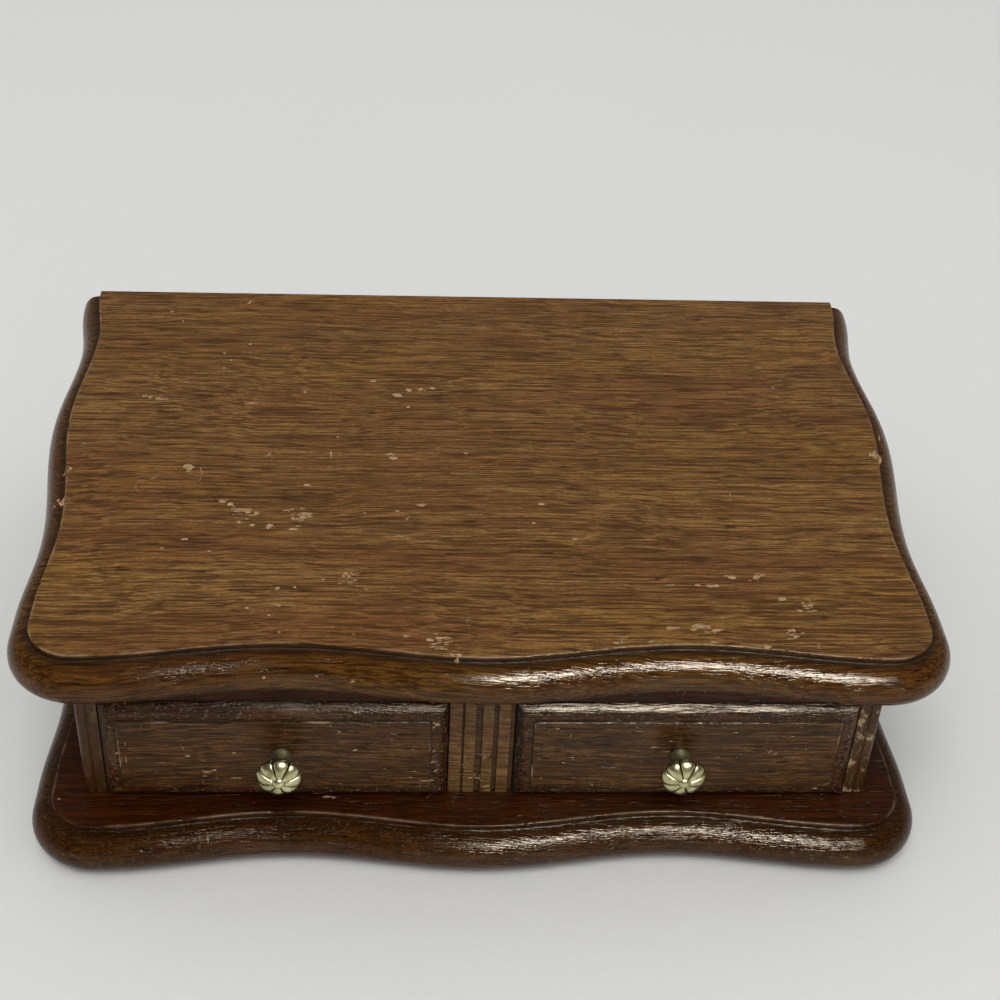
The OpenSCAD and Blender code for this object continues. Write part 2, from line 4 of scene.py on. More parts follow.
import bmesh
import bpy
from mathutils import Matrix, Vector, noise
from mathutils.bvhtree import BVHTree


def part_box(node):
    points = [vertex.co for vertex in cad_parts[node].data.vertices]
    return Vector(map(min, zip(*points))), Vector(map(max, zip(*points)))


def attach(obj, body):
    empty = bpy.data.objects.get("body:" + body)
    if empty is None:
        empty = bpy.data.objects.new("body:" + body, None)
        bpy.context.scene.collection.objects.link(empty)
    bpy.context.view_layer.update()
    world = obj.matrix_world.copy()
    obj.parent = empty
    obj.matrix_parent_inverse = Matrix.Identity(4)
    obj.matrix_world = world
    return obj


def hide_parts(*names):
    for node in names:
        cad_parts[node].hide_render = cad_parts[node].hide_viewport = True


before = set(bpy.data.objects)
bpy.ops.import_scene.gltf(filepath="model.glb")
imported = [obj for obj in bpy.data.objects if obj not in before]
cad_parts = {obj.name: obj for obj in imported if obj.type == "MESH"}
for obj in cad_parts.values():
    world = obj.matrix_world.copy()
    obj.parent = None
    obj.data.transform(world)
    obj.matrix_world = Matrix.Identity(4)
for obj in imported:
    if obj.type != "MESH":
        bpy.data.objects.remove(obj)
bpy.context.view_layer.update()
MM = 0.001


def node(tree, kind, feeds=None, out=0, **settings):
    """Adds a node, feeds its inputs with values or other sockets, and gives back one output."""
    made = tree.nodes.new(kind)
    for key, value in settings.items():
        setattr(made, key, value)
    for key, value in (feeds or {}).items():
        if isinstance(value, bpy.types.NodeSocket):
            tree.links.new(value, made.inputs[key])
        else:
            made.inputs[key].default_value = value
    return made.outputs[out]


def maths(tree, operation, a, b=0.0, c=0.0):
    return node(tree, "ShaderNodeMath", {0: a, 1: b, 2: c}, operation=operation)


def between(tree, value, low, high, to_low=0.0, to_high=1.0):
    """Eases value from to_low at low to to_high at high."""
    feeds = {"Value": value, "From Min": low, "From Max": high, "To Min": to_low, "To Max": to_high}
    return node(tree, "ShaderNodeMapRange", feeds, "Result", interpolation_type="SMOOTHSTEP")


def mixed(tree, share, a, b, blend="MIX"):
    """A colour between a and b."""
    feeds = {0: share, 6: a, 7: b}
    return node(tree, "ShaderNodeMix", feeds, 2, data_type="RGBA", blend_type=blend)


def speckle(tree, place, scale, detail=2.0, rough=0.5, twist=0.0):
    """Noise whose scale differs along each axis, so that it can stretch along the grain."""
    stretched = node(tree, "ShaderNodeVectorMath", {0: place, 1: scale}, operation="MULTIPLY")
    feeds = {"Vector": stretched, "Scale": 1.0, "Detail": detail, "Roughness": rough, "Distortion": twist}
    return node(tree, "ShaderNodeTexNoise", feeds, "Fac")


def colour(r, g, b):
    return (r, g, b, 1.0)


def finish(name):
    """A new material with its shader, and the place on the piece in metres."""
    made = bpy.data.materials.new(name)
    made.use_nodes = True
    tree = made.node_tree
    tree.nodes.clear()
    shader = tree.nodes.new("ShaderNodeBsdfPrincipled")
    out = tree.nodes.new("ShaderNodeOutputMaterial")
    tree.links.new(shader.outputs[0], out.inputs["Surface"])
    place = node(tree, "ShaderNodeTexCoord", out="Object")
    return made, tree, shader, place


def missing(tree, share, amount):
    """The full amount where the share is 0, and nothing where it is 1."""
    return maths(tree, "MULTIPLY_ADD", share, -amount, amount)


def dress(tree, shader, base, rough, height, strength, deep, more=None):
    """Feeds the shader its colour, its roughness and a bump that is so many metres deep."""
    bump = node(tree, "ShaderNodeBump", {"Strength": strength, "Distance": deep, "Height": height})
    for key, value in {"Base Color": base, "Roughness": rough, "Normal": bump, **(more or {})}.items():
        if isinstance(value, bpy.types.NodeSocket):
            tree.links.new(value, shader.inputs[key])
        else:
            shader.inputs[key].default_value = value


def attribute(tree, label):
    return node(tree, "ShaderNodeAttribute", out="Fac", attribute_name=label)


def along_grain(tree, place, along):
    """The place turned so that the grain runs along X."""
    if along == "X":
        return place
    parts = tree.nodes.new("ShaderNodeSeparateXYZ")
    tree.links.new(place, parts.inputs[0])
    order = {"Y": (1, 0, 2), "Z": (2, 0, 1)}[along]
    return node(tree, "ShaderNodeCombineXYZ", {i: parts.outputs[k] for i, k in enumerate(order)})


def swayed(tree, place):
    """The place drawn off its straight course, as the grain wanders along a board."""
    drift = maths(tree, "MULTIPLY_ADD", speckle(tree, place, (6, 13, 13), 1.0), 0.016, -0.008)
    ripple = maths(tree, "MULTIPLY_ADD", speckle(tree, place, (60, 55, 55), 1.0), 0.0016, -0.0008)
    sway = maths(tree, "ADD", drift, ripple)
    shift = node(tree, "ShaderNodeCombineXYZ", {1: sway, 2: sway})
    return node(tree, "ShaderNodeVectorMath", {0: place, 1: shift}, operation="ADD")


def small_flaws(tree, place):
    """Sparse hairline scratches and specks of dust in the varnish."""
    hair = speckle(tree, place, (38, 46, 46), 1.0, 0.5, 1.6)
    hair = maths(tree, "ABSOLUTE", maths(tree, "SUBTRACT", hair, 0.5))
    sparse = between(tree, speckle(tree, place, (60, 31, 47), 0.0), 0.60, 0.66)
    scratch = maths(tree, "MULTIPLY", between(tree, hair, 0.0016, 0.0004), sparse)
    spot = tree.nodes.new("ShaderNodeTexVoronoi")
    tree.links.new(place, spot.inputs["Vector"])
    spot.inputs["Scale"].default_value = 260.0
    chosen = between(tree, node(tree, "ShaderNodeSeparateColor", {0: spot.outputs["Color"]}), 0.955, 0.96)
    speck = maths(tree, "MULTIPLY", between(tree, spot.outputs["Distance"], 0.075, 0.05), chosen)
    return maths(tree, "MAXIMUM", maths(tree, "MULTIPLY", scratch, 0.4), maths(tree, "MULTIPLY", speck, 0.5))


def wood(name, pale, mid, dark, along="X", gloss=0.34, shine=0.4, depth=0.5, worn=0.5, line=1.0,
         bare=(0.38, 0.25, 0.13), dyed=(0.33, 0.27, 0.23), polish=0.0, fine=1.0, blotch=0.55, dusty=0.0,
         veil=(1.0, 0.90, 0.76)):
    """Varnished open-grained wood: drifting bands, dark grain lines, pores, hairline scratches and specks.
    The piece's own attributes bring out bare edges (wear), corners, grooves and gaps that are darkened partly
    as dirt and partly as painted shade, and mouldings that are stained darker and polished brighter than the
    flat (stain), where fine dust can lie (dusty)."""
    made, tree, shader, place = finish(name)
    place = swayed(tree, along_grain(tree, place, along))
    bands = between(tree, speckle(tree, place, (5, 90, 90), 3.0, 0.6), 0.34, 0.66)
    glow = between(tree, speckle(tree, place, (9, 34, 34), 2.0), 0.45, 0.68)
    russet = between(tree, speckle(tree, place, (13, 48, 48), 1.0), 0.48, 0.66)
    lines = between(tree, speckle(tree, place, (24 * fine, 1500, 1500), 2.0, 0.6), 0.38, 0.58)
    threads = between(tree, speckle(tree, place, (90 * fine, 2300, 2300), 1.0), 0.36, 0.60)
    pores = between(tree, speckle(tree, place, (130, 1700, 1700), 0.0), 0.26, 0.32)
    flecks = between(tree, speckle(tree, place, (700, 2200, 2200), 0.0), 0.30, 0.70)

    gold = (1.10 * pale[0], 1.10 * pale[1], 0.60 * pale[2])
    rust = (1.02 * mid[0], 0.78 * mid[1], 0.85 * mid[2])
    base = mixed(tree, bands, colour(*mid), colour(*pale))
    for share, tone in (
            (maths(tree, "MULTIPLY", glow, blotch), gold), (maths(tree, "MULTIPLY", russet, blotch), rust),
            (missing(tree, lines, 0.85 * line), dark), (missing(tree, threads, 0.55 * line), dark),
            (maths(tree, "MULTIPLY", flecks, 0.35 * line), dark),
            (missing(tree, pores, 0.7 * line), [0.4 * v for v in dark])):
        base = mixed(tree, share, base, colour(*tone))

    wear, grime, stain = (attribute(tree, label) for label in ("wear", "grime", "stain"))
    rub = between(tree, speckle(tree, place, (70, 130, 130), 4.0, 0.6), 0.66 - 0.3 * worn, 0.78 - 0.2 * worn)
    worn_through = maths(tree, "MULTIPLY", wear, rub)
    base = mixed(tree, stain, base, colour(*dyed), "MULTIPLY")
    base = mixed(tree, worn_through, base, colour(*bare))
    # painted shade with dirt: corners, grooves and gaps go nearly black where the darkening attribute is high
    base = mixed(tree, maths(tree, "MULTIPLY", grime, 0.85), base, colour(0.006, 0.003, 0.001))
    if dusty:
        settled = between(tree, speckle(tree, place, (1100, 1500, 1500), 1.0), 0.60, 0.72)
        settled = maths(tree, "MULTIPLY", maths(tree, "MULTIPLY", settled, stain), dusty)
        base = mixed(tree, settled, base, colour(0.26, 0.19, 0.13))
    flaw = small_flaws(tree, place)
    base = mixed(tree, flaw, base, colour(0.30, 0.20, 0.11))

    rough = maths(tree, "MULTIPLY_ADD", speckle(tree, place, (14, 30, 30), 3.0, 0.6), 0.22, gloss - 0.11)
    rough = maths(tree, "MULTIPLY_ADD", maths(tree, "MAXIMUM", worn_through, flaw), 0.3, rough)
    rough = maths(tree, "MULTIPLY_ADD", stain, -polish, rough)
    rough = maths(tree, "MULTIPLY_ADD", grime, 0.4, rough)
    height = maths(tree, "MULTIPLY", pores, 0.6)
    for feature, rise in ((lines, 0.6), (threads, 0.25), (speckle(tree, place, (12, 70, 70), 1.0), 1.2),
                          (flaw, -0.6), (speckle(tree, place, (900, 2300, 2300), 1.0), 0.5)):
        height = maths(tree, "MULTIPLY_ADD", feature, rise, height)
    dress(tree, shader, base, rough, height, depth, 0.00012,
          {"Specular IOR Level": shine, "Specular Tint": colour(*veil)})
    return made


def metal(name, bright, dull, rough=0.25, patina=0.5, scale=1.0):
    """Cast or rolled metal that has gone dull, darkest where its darkening attribute is high: partly dirt,
    partly painted shade.
    """
    made, tree, shader, place = finish(name)
    cloud = speckle(tree, place, (240 * scale,) * 3, 4.0, 0.6)
    fine = speckle(tree, place, (2600 * scale,) * 3, 2.0, 0.6)
    grime = attribute(tree, "grime")
    base = mixed(tree, between(tree, cloud, 0.35, 0.7, 0.0, patina), colour(*bright), colour(*dull))
    # painted shade with dirt: near black where the darkening attribute is high
    base = mixed(tree, grime, base, colour(0.012, 0.010, 0.006))
    roughness = maths(tree, "MULTIPLY_ADD", cloud, 0.18, rough - 0.09)
    roughness = maths(tree, "MULTIPLY_ADD", grime, 0.35, roughness)
    height = maths(tree, "MULTIPLY_ADD", cloud, 1.2, fine)
    dress(tree, shader, base, roughness, height, 0.35, 0.00004, {"Metallic": 1.0})
    return made


def pile(name, deep, light, scale=1.0, sheen=0.6):
    """Velvet or felt: a short pile that lies in soft patches."""
    made, tree, shader, place = finish(name)
    nap = speckle(tree, place, (90, 90, 90), 3.0, 0.6)
    fibre = speckle(tree, place, (2600 * scale,) * 3, 2.0, 0.7)
    tuft = speckle(tree, place, (900 * scale,) * 3, 2.0, 0.6)
    base = mixed(tree, between(tree, nap, 0.35, 0.65), colour(*deep), colour(*light))
    base = mixed(tree, between(tree, fibre, 0.3, 0.7, 0.0, 0.45), base, colour(*[0.4 * v for v in deep]))
    dress(tree, shader, base, 0.92, maths(tree, "ADD", tuft, fibre), 0.7, 0.0003, {
        "Sheen Weight": sheen, "Sheen Roughness": 0.35, "Specular IOR Level": 0.15,
        "Sheen Tint": colour(*[min(1.0, 3 * v) for v in light])})
    return made


def silvered(name):
    """Old looking glass: bright silvering that has gone brown in spots."""
    made, tree, shader, place = finish(name)
    spots = between(tree, speckle(tree, place, (110, 110, 110), 4.0, 0.65), 0.70, 0.78)
    haze = speckle(tree, place, (18, 18, 18), 3.0, 0.6)
    dim = between(tree, haze, 0.3, 0.8, 0.0, 0.35)
    base = mixed(tree, dim, colour(0.86, 0.88, 0.87), colour(0.70, 0.72, 0.70))
    base = mixed(tree, spots, base, colour(0.16, 0.12, 0.08))
    roughness = maths(tree, "MULTIPLY_ADD", spots, 0.4, between(tree, haze, 0.58, 0.8, 0.0, 0.05))
    dress(tree, shader, base, roughness, spots, 0.05, 0.0001, {"Metallic": 1.0})
    return made


def card_stock(name):
    """Old grey-brown card, flecked and stained."""
    made, tree, shader, place = finish(name)
    fleck = speckle(tree, place, (900, 900, 900), 3.0, 0.6)
    stain = speckle(tree, place, (25, 25, 25), 3.0, 0.6)
    base = mixed(tree, between(tree, stain, 0.35, 0.7), colour(0.50, 0.42, 0.30), colour(0.40, 0.32, 0.22))
    base = mixed(tree, between(tree, fleck, 0.6, 0.75, 0.0, 0.5), base, colour(0.25, 0.19, 0.12))
    dress(tree, shader, base, 0.85, fleck, 0.4, 0.0001)
    return made


def bare_wood(name):
    """Raw wood where the varnish and stain have come away. Its pale attribute goes from a dark crack at 0
    through a faint rub to fresh bare wood at 1."""
    made, tree, shader, place = finish(name)
    grain = speckle(tree, place, (300, 2400, 2400), 2.0, 0.6)
    patch = speckle(tree, place, (700, 900, 900), 2.0, 0.6)
    base = mixed(tree, between(tree, grain, 0.35, 0.65), colour(0.32, 0.19, 0.09), colour(0.54, 0.37, 0.20))
    base = mixed(tree, between(tree, patch, 0.45, 0.7, 0.0, 0.4), base, colour(0.22, 0.12, 0.05))
    pale = attribute(tree, "pale")
    base = mixed(tree, between(tree, pale, 0.0, 1.0), colour(0.10, 0.045, 0.016), base)
    base = mixed(tree, between(tree, pale, 0.05, 0.0), base, colour(0.006, 0.002, 0.001))
    dress(tree, shader, base, 0.62, grain, 0.6, 0.0001, {"Specular IOR Level": 0.15})
    return made


LID_WOOD = wood("lid_walnut", (0.332, 0.171, 0.0475), (0.236, 0.110, 0.0280), (0.068, 0.0245, 0.0054),
                gloss=0.38, shine=0.16, depth=0.6, line=1.06, worn=0.8, bare=(0.30, 0.19, 0.10),
                dyed=(0.46, 0.385, 0.22), polish=0.22, fine=1.25, blotch=0.45)
# base walnut: darker than the drawer fronts' walnut, partly the wood's own dark red-brown and partly painted
# shade
SHADE_DARKENED_BASE_WOOD = wood("base_walnut_shade_darkened", (0.075, 0.0180, 0.0030), (0.050, 0.0115, 0.0018), (0.018, 0.0040, 0.0007),
                 gloss=0.24, shine=0.14, depth=0.8, worn=0.9, bare=(0.20, 0.12, 0.065),
                 dyed=(1.00, 1.35, 0.85), polish=0.11, dusty=0.15, veil=(1.0, 0.88, 0.72))
STILE_WOOD = wood("stile_walnut", (0.280, 0.150, 0.0530), (0.195, 0.098, 0.0340), (0.060, 0.025, 0.0075),
                  shine=0.2, depth=0.8)
CASE_WOOD_Y = wood("case_walnut_sides", (0.120, 0.0520, 0.0150), (0.080, 0.0330, 0.0090),
                   (0.028, 0.0100, 0.0025), along="Y", shine=0.24)
CASE_WOOD_X = wood("case_walnut_lengthwise", (0.060, 0.0200, 0.0045), (0.038, 0.0115, 0.0024),
                   (0.014, 0.0040, 0.0009), shine=0.24)
FRONT_WOOD = wood("drawer_front_walnut", (0.150, 0.065, 0.0155), (0.110, 0.046, 0.0108),
                  (0.036, 0.0130, 0.0030), gloss=0.15, shine=0.22, depth=0.9, line=1.35,
                  dyed=(0.58, 0.30, 0.14), polish=-0.12, fine=1.5, blotch=0.25, dusty=0.7,
                  veil=(1.0, 0.87, 0.68))
BOX_WOOD_Y, BOX_WOOD_X = (
    wood("drawer_box_wood_" + run, (0.50, 0.33, 0.18), (0.42, 0.26, 0.13), (0.24, 0.13, 0.06), along=along,
         gloss=0.6, shine=0.3, depth=0.3, line=0.6, bare=(0.6, 0.45, 0.28))
    for run, along in (("lengthwise", "Y"), ("crosswise", "X")))
KNOB_BRASS = metal("antique_knob_brass", (0.58, 0.53, 0.30), (0.22, 0.20, 0.085), 0.24, 0.75, 2.2)
HINGE_BRASS = metal("rolled_hinge_brass", (0.58, 0.46, 0.25), (0.30, 0.22, 0.12), 0.33, 0.6, 0.5)
SCREW_STEEL = metal("screw_steel", (0.50, 0.50, 0.50), (0.30, 0.28, 0.26), 0.32, 0.5, 1.0)
VELVET = pile("wine_velvet", (0.10, 0.008, 0.018), (0.17, 0.016, 0.032))
FELT = pile("green_felt", (0.020, 0.045, 0.024), (0.035, 0.070, 0.038), 0.8, 0.2)
MIRROR = silvered("looking_glass_silver")
CARD = card_stock("backing_card")
BARE = bare_wood("bare_wood_under_varnish")


def placed(name, data):
    """A new object, linked to the scene."""
    made = bpy.data.objects.new(name, data)
    bpy.context.scene.collection.objects.link(made)
    return made


def box_mm(name):
    """The lowest and the highest corner of a solid, in millimetres."""
    return [corner * 1000 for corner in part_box(name)]


def put(name, mesh, body, material, stands_for=(), smooth_angle=35):
    """Links a finished mesh as a piece on its body."""
    made = placed(name, mesh)
    mesh.materials.clear()
    mesh.materials.append(material)
    shade(mesh, smooth_angle)
    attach(made, body)
    if stands_for:
        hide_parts(*stands_for)
    return made


# Faces of more square metres than this stay flat
BROAD = 60e-6


def shade(mesh, angle):
    """Smooth faces, with edges sharper than the angle kept crisp. Broad faces stay truly flat."""
    shape = bmesh.new()
    shape.from_mesh(mesh)
    for face in shape.faces:
        face.smooth = face.calc_area() < BROAD
    for edge in shape.edges:
        edge.smooth = len(edge.link_faces) == 2 and edge.calc_face_angle(0) < math.radians(angle)
    shape.to_mesh(mesh)
    shape.free()


def mesh_of(name, points, faces):
    made = bpy.data.meshes.new(name)
    made.from_pydata([tuple(p) for p in points], [], faces)
    made.validate()
    made.update()
    return made


def with_marks(mesh, **marks):
    """The mesh with a named value at each of its points."""
    for label, values in marks.items():
        layer = mesh.attributes.new(label, "FLOAT", "POINT")
        layer.data.foreach_set("value", values)
    return mesh


def skin_faces(around, rings, start=0):
    """The faces of a closed skin through rings of points, its first and last ring capped."""
    faces = [(start + k * around + i, start + k * around + (i + 1) % around,
              start + (k + 1) * around + (i + 1) % around, start + (k + 1) * around + i)
             for k in range(rings - 1) for i in range(around)]
    last = start + (rings - 1) * around
    return faces + [tuple(range(start, start + around))[::-1], tuple(range(last, last + around))]


def outward(mesh):
    """The mesh with all its faces turned to look out."""
    shape = bmesh.new()
    shape.from_mesh(mesh)
    bmesh.ops.recalc_face_normals(shape, faces=shape.faces)
    shape.to_mesh(mesh)
    shape.free()
    return mesh


# Edges that turn by more than this many degrees are rubbed round
SHARP = 30


def softened(node_name, width, front_bare):
    """A copy of a solid with its sharp edges rubbed round. The rubbed faces carry the wear attribute,
    and the faces that look to the front get a value of their own in it, which mixes in bare wood."""
    shape = bmesh.new()
    shape.from_mesh(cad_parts[node_name].data)
    bmesh.ops.remove_doubles(shape, verts=shape.verts, dist=2e-6)
    bmesh.ops.dissolve_limit(shape, angle_limit=math.radians(0.6), verts=shape.verts, edges=shape.edges)
    sharp = [e for e in shape.edges
             if len(e.link_faces) == 2 and e.calc_face_angle_signed(0) > math.radians(SHARP)]
    made = bmesh.ops.bevel(shape, geom=sharp, offset=width * MM, segments=2, profile=0.5,
                           affect="EDGES", clamp_overlap=True)
    layer = shape.faces.layers.float.new("wear")
    for face in shape.faces:
        face[layer] = front_bare if face.normal.y < -0.9 else 0.0
    for face in made["faces"]:
        if face.is_valid:
            face[layer] = 1.0
    mesh = bpy.data.meshes.new(node_name + "_soft")
    shape.to_mesh(mesh)
    shape.free()
    return mesh


def camera_at(place, pitch, yaw, roll, focal_px, frame_px=1000):
    """The camera at the photograph's viewing angle, placed in millimetres and turned in degrees."""
    data = bpy.data.cameras.new("view")
    data.sensor_width = 36.0
    data.lens = focal_px / frame_px * 36.0
    data.clip_start = 0.01
    made = placed("view", data)
    pitch, yaw, roll = (math.radians(a) for a in (pitch, yaw, roll))
    turn = Matrix.Rotation(yaw, 3, "Z")
    forward = turn @ Vector((0, math.cos(pitch), -math.sin(pitch)))
    right = turn @ Vector((1, 0, 0))
    up = right.cross(forward)
    right, up = (math.cos(roll) * right + math.sin(roll) * up, math.cos(roll) * up - math.sin(roll) * right)
    turned = Matrix((right, up, -forward)).transposed()
    made.matrix_world = Matrix.Translation(Vector(place) * MM) @ turned.to_4x4()
    bpy.context.scene.camera = made


camera_at(place=(-23.91, -440.70, 398.54), pitch=37.306, yaw=-4.095, roll=3.003, focal_px=1733)


def stage_floor():
    mesh = mesh_of("floor", [(-4, -4, 0), (4, -4, 0), (4, 6, 0), (-4, 6, 0)], [(0, 1, 2, 3)])
    made, tree, shader, place = finish("pale_floor")
    tone = speckle(tree, place, (3, 3, 3), 2.0)
    grit = speckle(tree, place, (300, 300, 300), 2.0)
    base = mixed(tree, tone, colour(0.78, 0.79, 0.77), colour(0.82, 0.83, 0.81))
    base = mixed(tree, between(tree, grit, 0.3, 0.7, 0.0, 0.1), base, colour(0.72, 0.72, 0.70))
    dress(tree, shader, base, 0.6, grit, 0.05, 0.0005)
    mesh.materials.append(made)
    placed("floor", mesh)


def lamp(name, aim, direction, distance, width, height, power, tint):
    """A soft rectangular lamp, looking at its aim from a distance along a direction."""
    data = bpy.data.lights.new(name, "AREA")
    data.shape = "RECTANGLE"
    data.size = width
    data.size_y = height
    data.energy = power
    data.color = tint
    made = placed(name, data)
    way = Vector(direction).normalized()
    made.location = Vector(aim) + distance * way
    made.rotation_euler = way.to_track_quat("Z", "Y").to_euler()
    made.visible_camera = False
    return made


def studio():
    """A light tent that is brightest overhead and behind, and dimmer in gloss than in diffuse light.
    A weak ceiling lamp gives it a side. The window, near and to the right, draws the highlights."""
    world = bpy.data.worlds.new("studio")
    world.use_nodes = True
    bpy.context.scene.world = world
    tree = world.node_tree
    sky = tree.nodes["Background"]
    way = tree.nodes.new("ShaderNodeSeparateXYZ")
    tree.links.new(node(tree, "ShaderNodeTexCoord", out="Generated"), way.inputs[0])
    back = between(tree, way.outputs[1], -0.45, 0.35)
    gloss = mixed(tree, back, colour(0.10, 0.10, 0.105), colour(0.24, 0.245, 0.25))
    rear = between(tree, way.outputs[1], -0.8, 0.6)
    low = mixed(tree, rear, colour(0.46, 0.46, 0.455), colour(0.62, 0.62, 0.62))
    tent = mixed(tree, between(tree, way.outputs[2], 0.0, 0.85), low, colour(0.70, 0.70, 0.70))
    ray = node(tree, "ShaderNodeLightPath", out="Is Glossy Ray")
    glow = mixed(tree, ray, tent, gloss)
    for plain in ("Is Camera Ray", "Is Singular Ray"):
        glow = mixed(tree, node(tree, "ShaderNodeLightPath", out=plain), glow, colour(0.68, 0.685, 0.67))
    tree.links.new(glow, sky.inputs["Color"])
    sky.inputs["Strength"].default_value = 1.0
    ceiling = lamp("ceiling", aim=(0, 0, 0.05), direction=(-0.10, -0.45, 0.88), distance=3.2,
                   width=1.4, height=1.2, power=31.0, tint=(1.0, 0.985, 0.96))
    ceiling.visible_glossy = False
    window = lamp("window", aim=(0.118, -0.09, 0.07), direction=(0.0, -0.71, 0.705), distance=0.50,
                  width=0.20, height=0.15, power=9.8, tint=(1.0, 0.985, 0.965))
    window.visible_diffuse = False


stage_floor()
studio()


def geometry_tree(name, inputs):
    """A tree with named inputs. Gives the tree and its input sockets by name."""
    tree = bpy.data.node_groups.new(name, "GeometryNodeTree")
    tree.interface.new_socket("Geometry", in_out="OUTPUT", socket_type="NodeSocketGeometry")
    tree.interface.new_socket("Geometry", in_out="INPUT", socket_type="NodeSocketGeometry")
    for label, kind in inputs:
        tree.interface.new_socket(label, in_out="INPUT", socket_type="NodeSocket" + kind)
    entry = tree.nodes.new("NodeGroupInput")
    return tree, {s.name: s for s in entry.outputs}


def close_tree(tree, geometry, material):
    real = node(tree, "GeometryNodeRealizeInstances", {"Geometry": geometry})
    dressed = node(tree, "GeometryNodeSetMaterial", {"Geometry": real, "Material": material})
    end = tree.nodes.new("NodeGroupOutput")
    tree.links.new(dressed, end.inputs[0])


def grown(mesh, tree, values):
    """Runs a tree on a mesh with the named values, and gives the plain mesh that comes out."""
    carrier = placed("carrier", mesh)
    modifier = carrier.modifiers.new("make", "NODES")
    modifier.node_group = tree
    ids = {s.name: s.identifier for s in tree.interface.items_tree if s.in_out == "INPUT"}
    for label, value in values.items():
        modifier[ids[label]] = value
    seen = carrier.evaluated_get(bpy.context.evaluated_depsgraph_get())
    made = bpy.data.meshes.new_from_object(seen)
    bpy.data.objects.remove(carrier)
    return made


def polyline(name, points):
    """A mesh of edges through points."""
    made = bpy.data.meshes.new(name)
    made.from_pydata([tuple(p) for p in points], [(i, i + 1) for i in range(len(points) - 1)], [])
    return made


def board_tree():
    """Sweeps a moulding along a serpentine path and knocks small chips out of its worn edge."""
    tree, given = geometry_tree("moulded_edge", [
        ("Moulding", "Object"), ("Chip Depth", "Float"), ("Chip Size", "Float"), ("Seed", "Float"),
        ("Finish", "Material")])
    path = node(tree, "GeometryNodeMeshToCurve", {"Mesh": given["Geometry"]})
    path = node(tree, "GeometryNodeSetCurveNormal", {"Curve": path}, mode="Z_UP")
    section = node(tree, "GeometryNodeObjectInfo", {"Object": given["Moulding"]}, "Geometry")
    section = node(tree, "GeometryNodeMeshToCurve", {"Mesh": section})
    swept = node(tree, "GeometryNodeCurveToMesh", {"Curve": path, "Profile Curve": section})
    worn = node(tree, "GeometryNodeInputNamedAttribute", {"Name": "wear"}, data_type="FLOAT")
    where = node(tree, "GeometryNodeInputPosition")
    feeds = {"Vector": where, "W": given["Seed"], "Scale": given["Chip Size"],
             "Detail": 3.0, "Roughness": 0.6}
    lumps = node(tree, "ShaderNodeTexNoise", feeds, "Fac", noise_dimensions="4D")
    bite = between(tree, lumps, 0.52, 0.72)
    bite = maths(tree, "MULTIPLY", maths(tree, "MULTIPLY", bite, worn), given["Chip Depth"])
    bite = maths(tree, "MULTIPLY", bite, -1.0)
    inward = node(tree, "ShaderNodeVectorMath", {0: node(tree, "GeometryNodeInputNormal"), 3: bite},
                  operation="SCALE")
    chipped = node(tree, "GeometryNodeSetPosition", {"Geometry": swept, "Offset": inward})
    close_tree(tree, chipped, given["Finish"])
    return tree


def ease(a, b, t):
    """Swings from a to b in half a wave as t goes from 0 to 1."""
    return a + (b - a) * (1 - math.cos(math.pi * t)) / 2


# Both boards: width, how far their corners stand in, the corners' radius and the front's hollow
BOARD_W, CORNER_IN, CORNER_R, HOLLOW = 275.0, 5.3, 20.0, 5.6
# The sides' turning points: where each lies as a share of the depth, and how far it stands in
SIDE_AT = (0.145, 0.305, 0.625, 0.83, 1.0)
SIDE_IN = (5.3, 7.1, 1.2, 3.7, 0.0)


def half_outline(depth, front=110, corner=30, side=34):
    """Half the serpentine outline, from the middle of the front round to the back edge."""
    half = BOARD_W / 2
    corner_x = half - CORNER_IN - CORNER_R
    points = []
    for i in range(front):
        t = i / front
        points.append((corner_x * t, HOLLOW * (1 - math.cos(2 * math.pi * t)) / 2))
    for i in range(corner):
        a = math.pi / 2 * i / corner
        points.append((corner_x + CORNER_R * math.sin(a), CORNER_R * (1 - math.cos(a))))
    points.append((half - CORNER_IN, CORNER_R))
    start = SIDE_AT[0] * depth
    for k in range(4):
        for i in range(side):
            t = i / side
            y = depth * (SIDE_AT[k] + (SIDE_AT[k + 1] - SIDE_AT[k]) * t)
            if y > max(CORNER_R, start) + 0.4:
                points.append((half - ease(SIDE_IN[k], SIDE_IN[k + 1], t), y))
    points.append((half, depth))
    return points


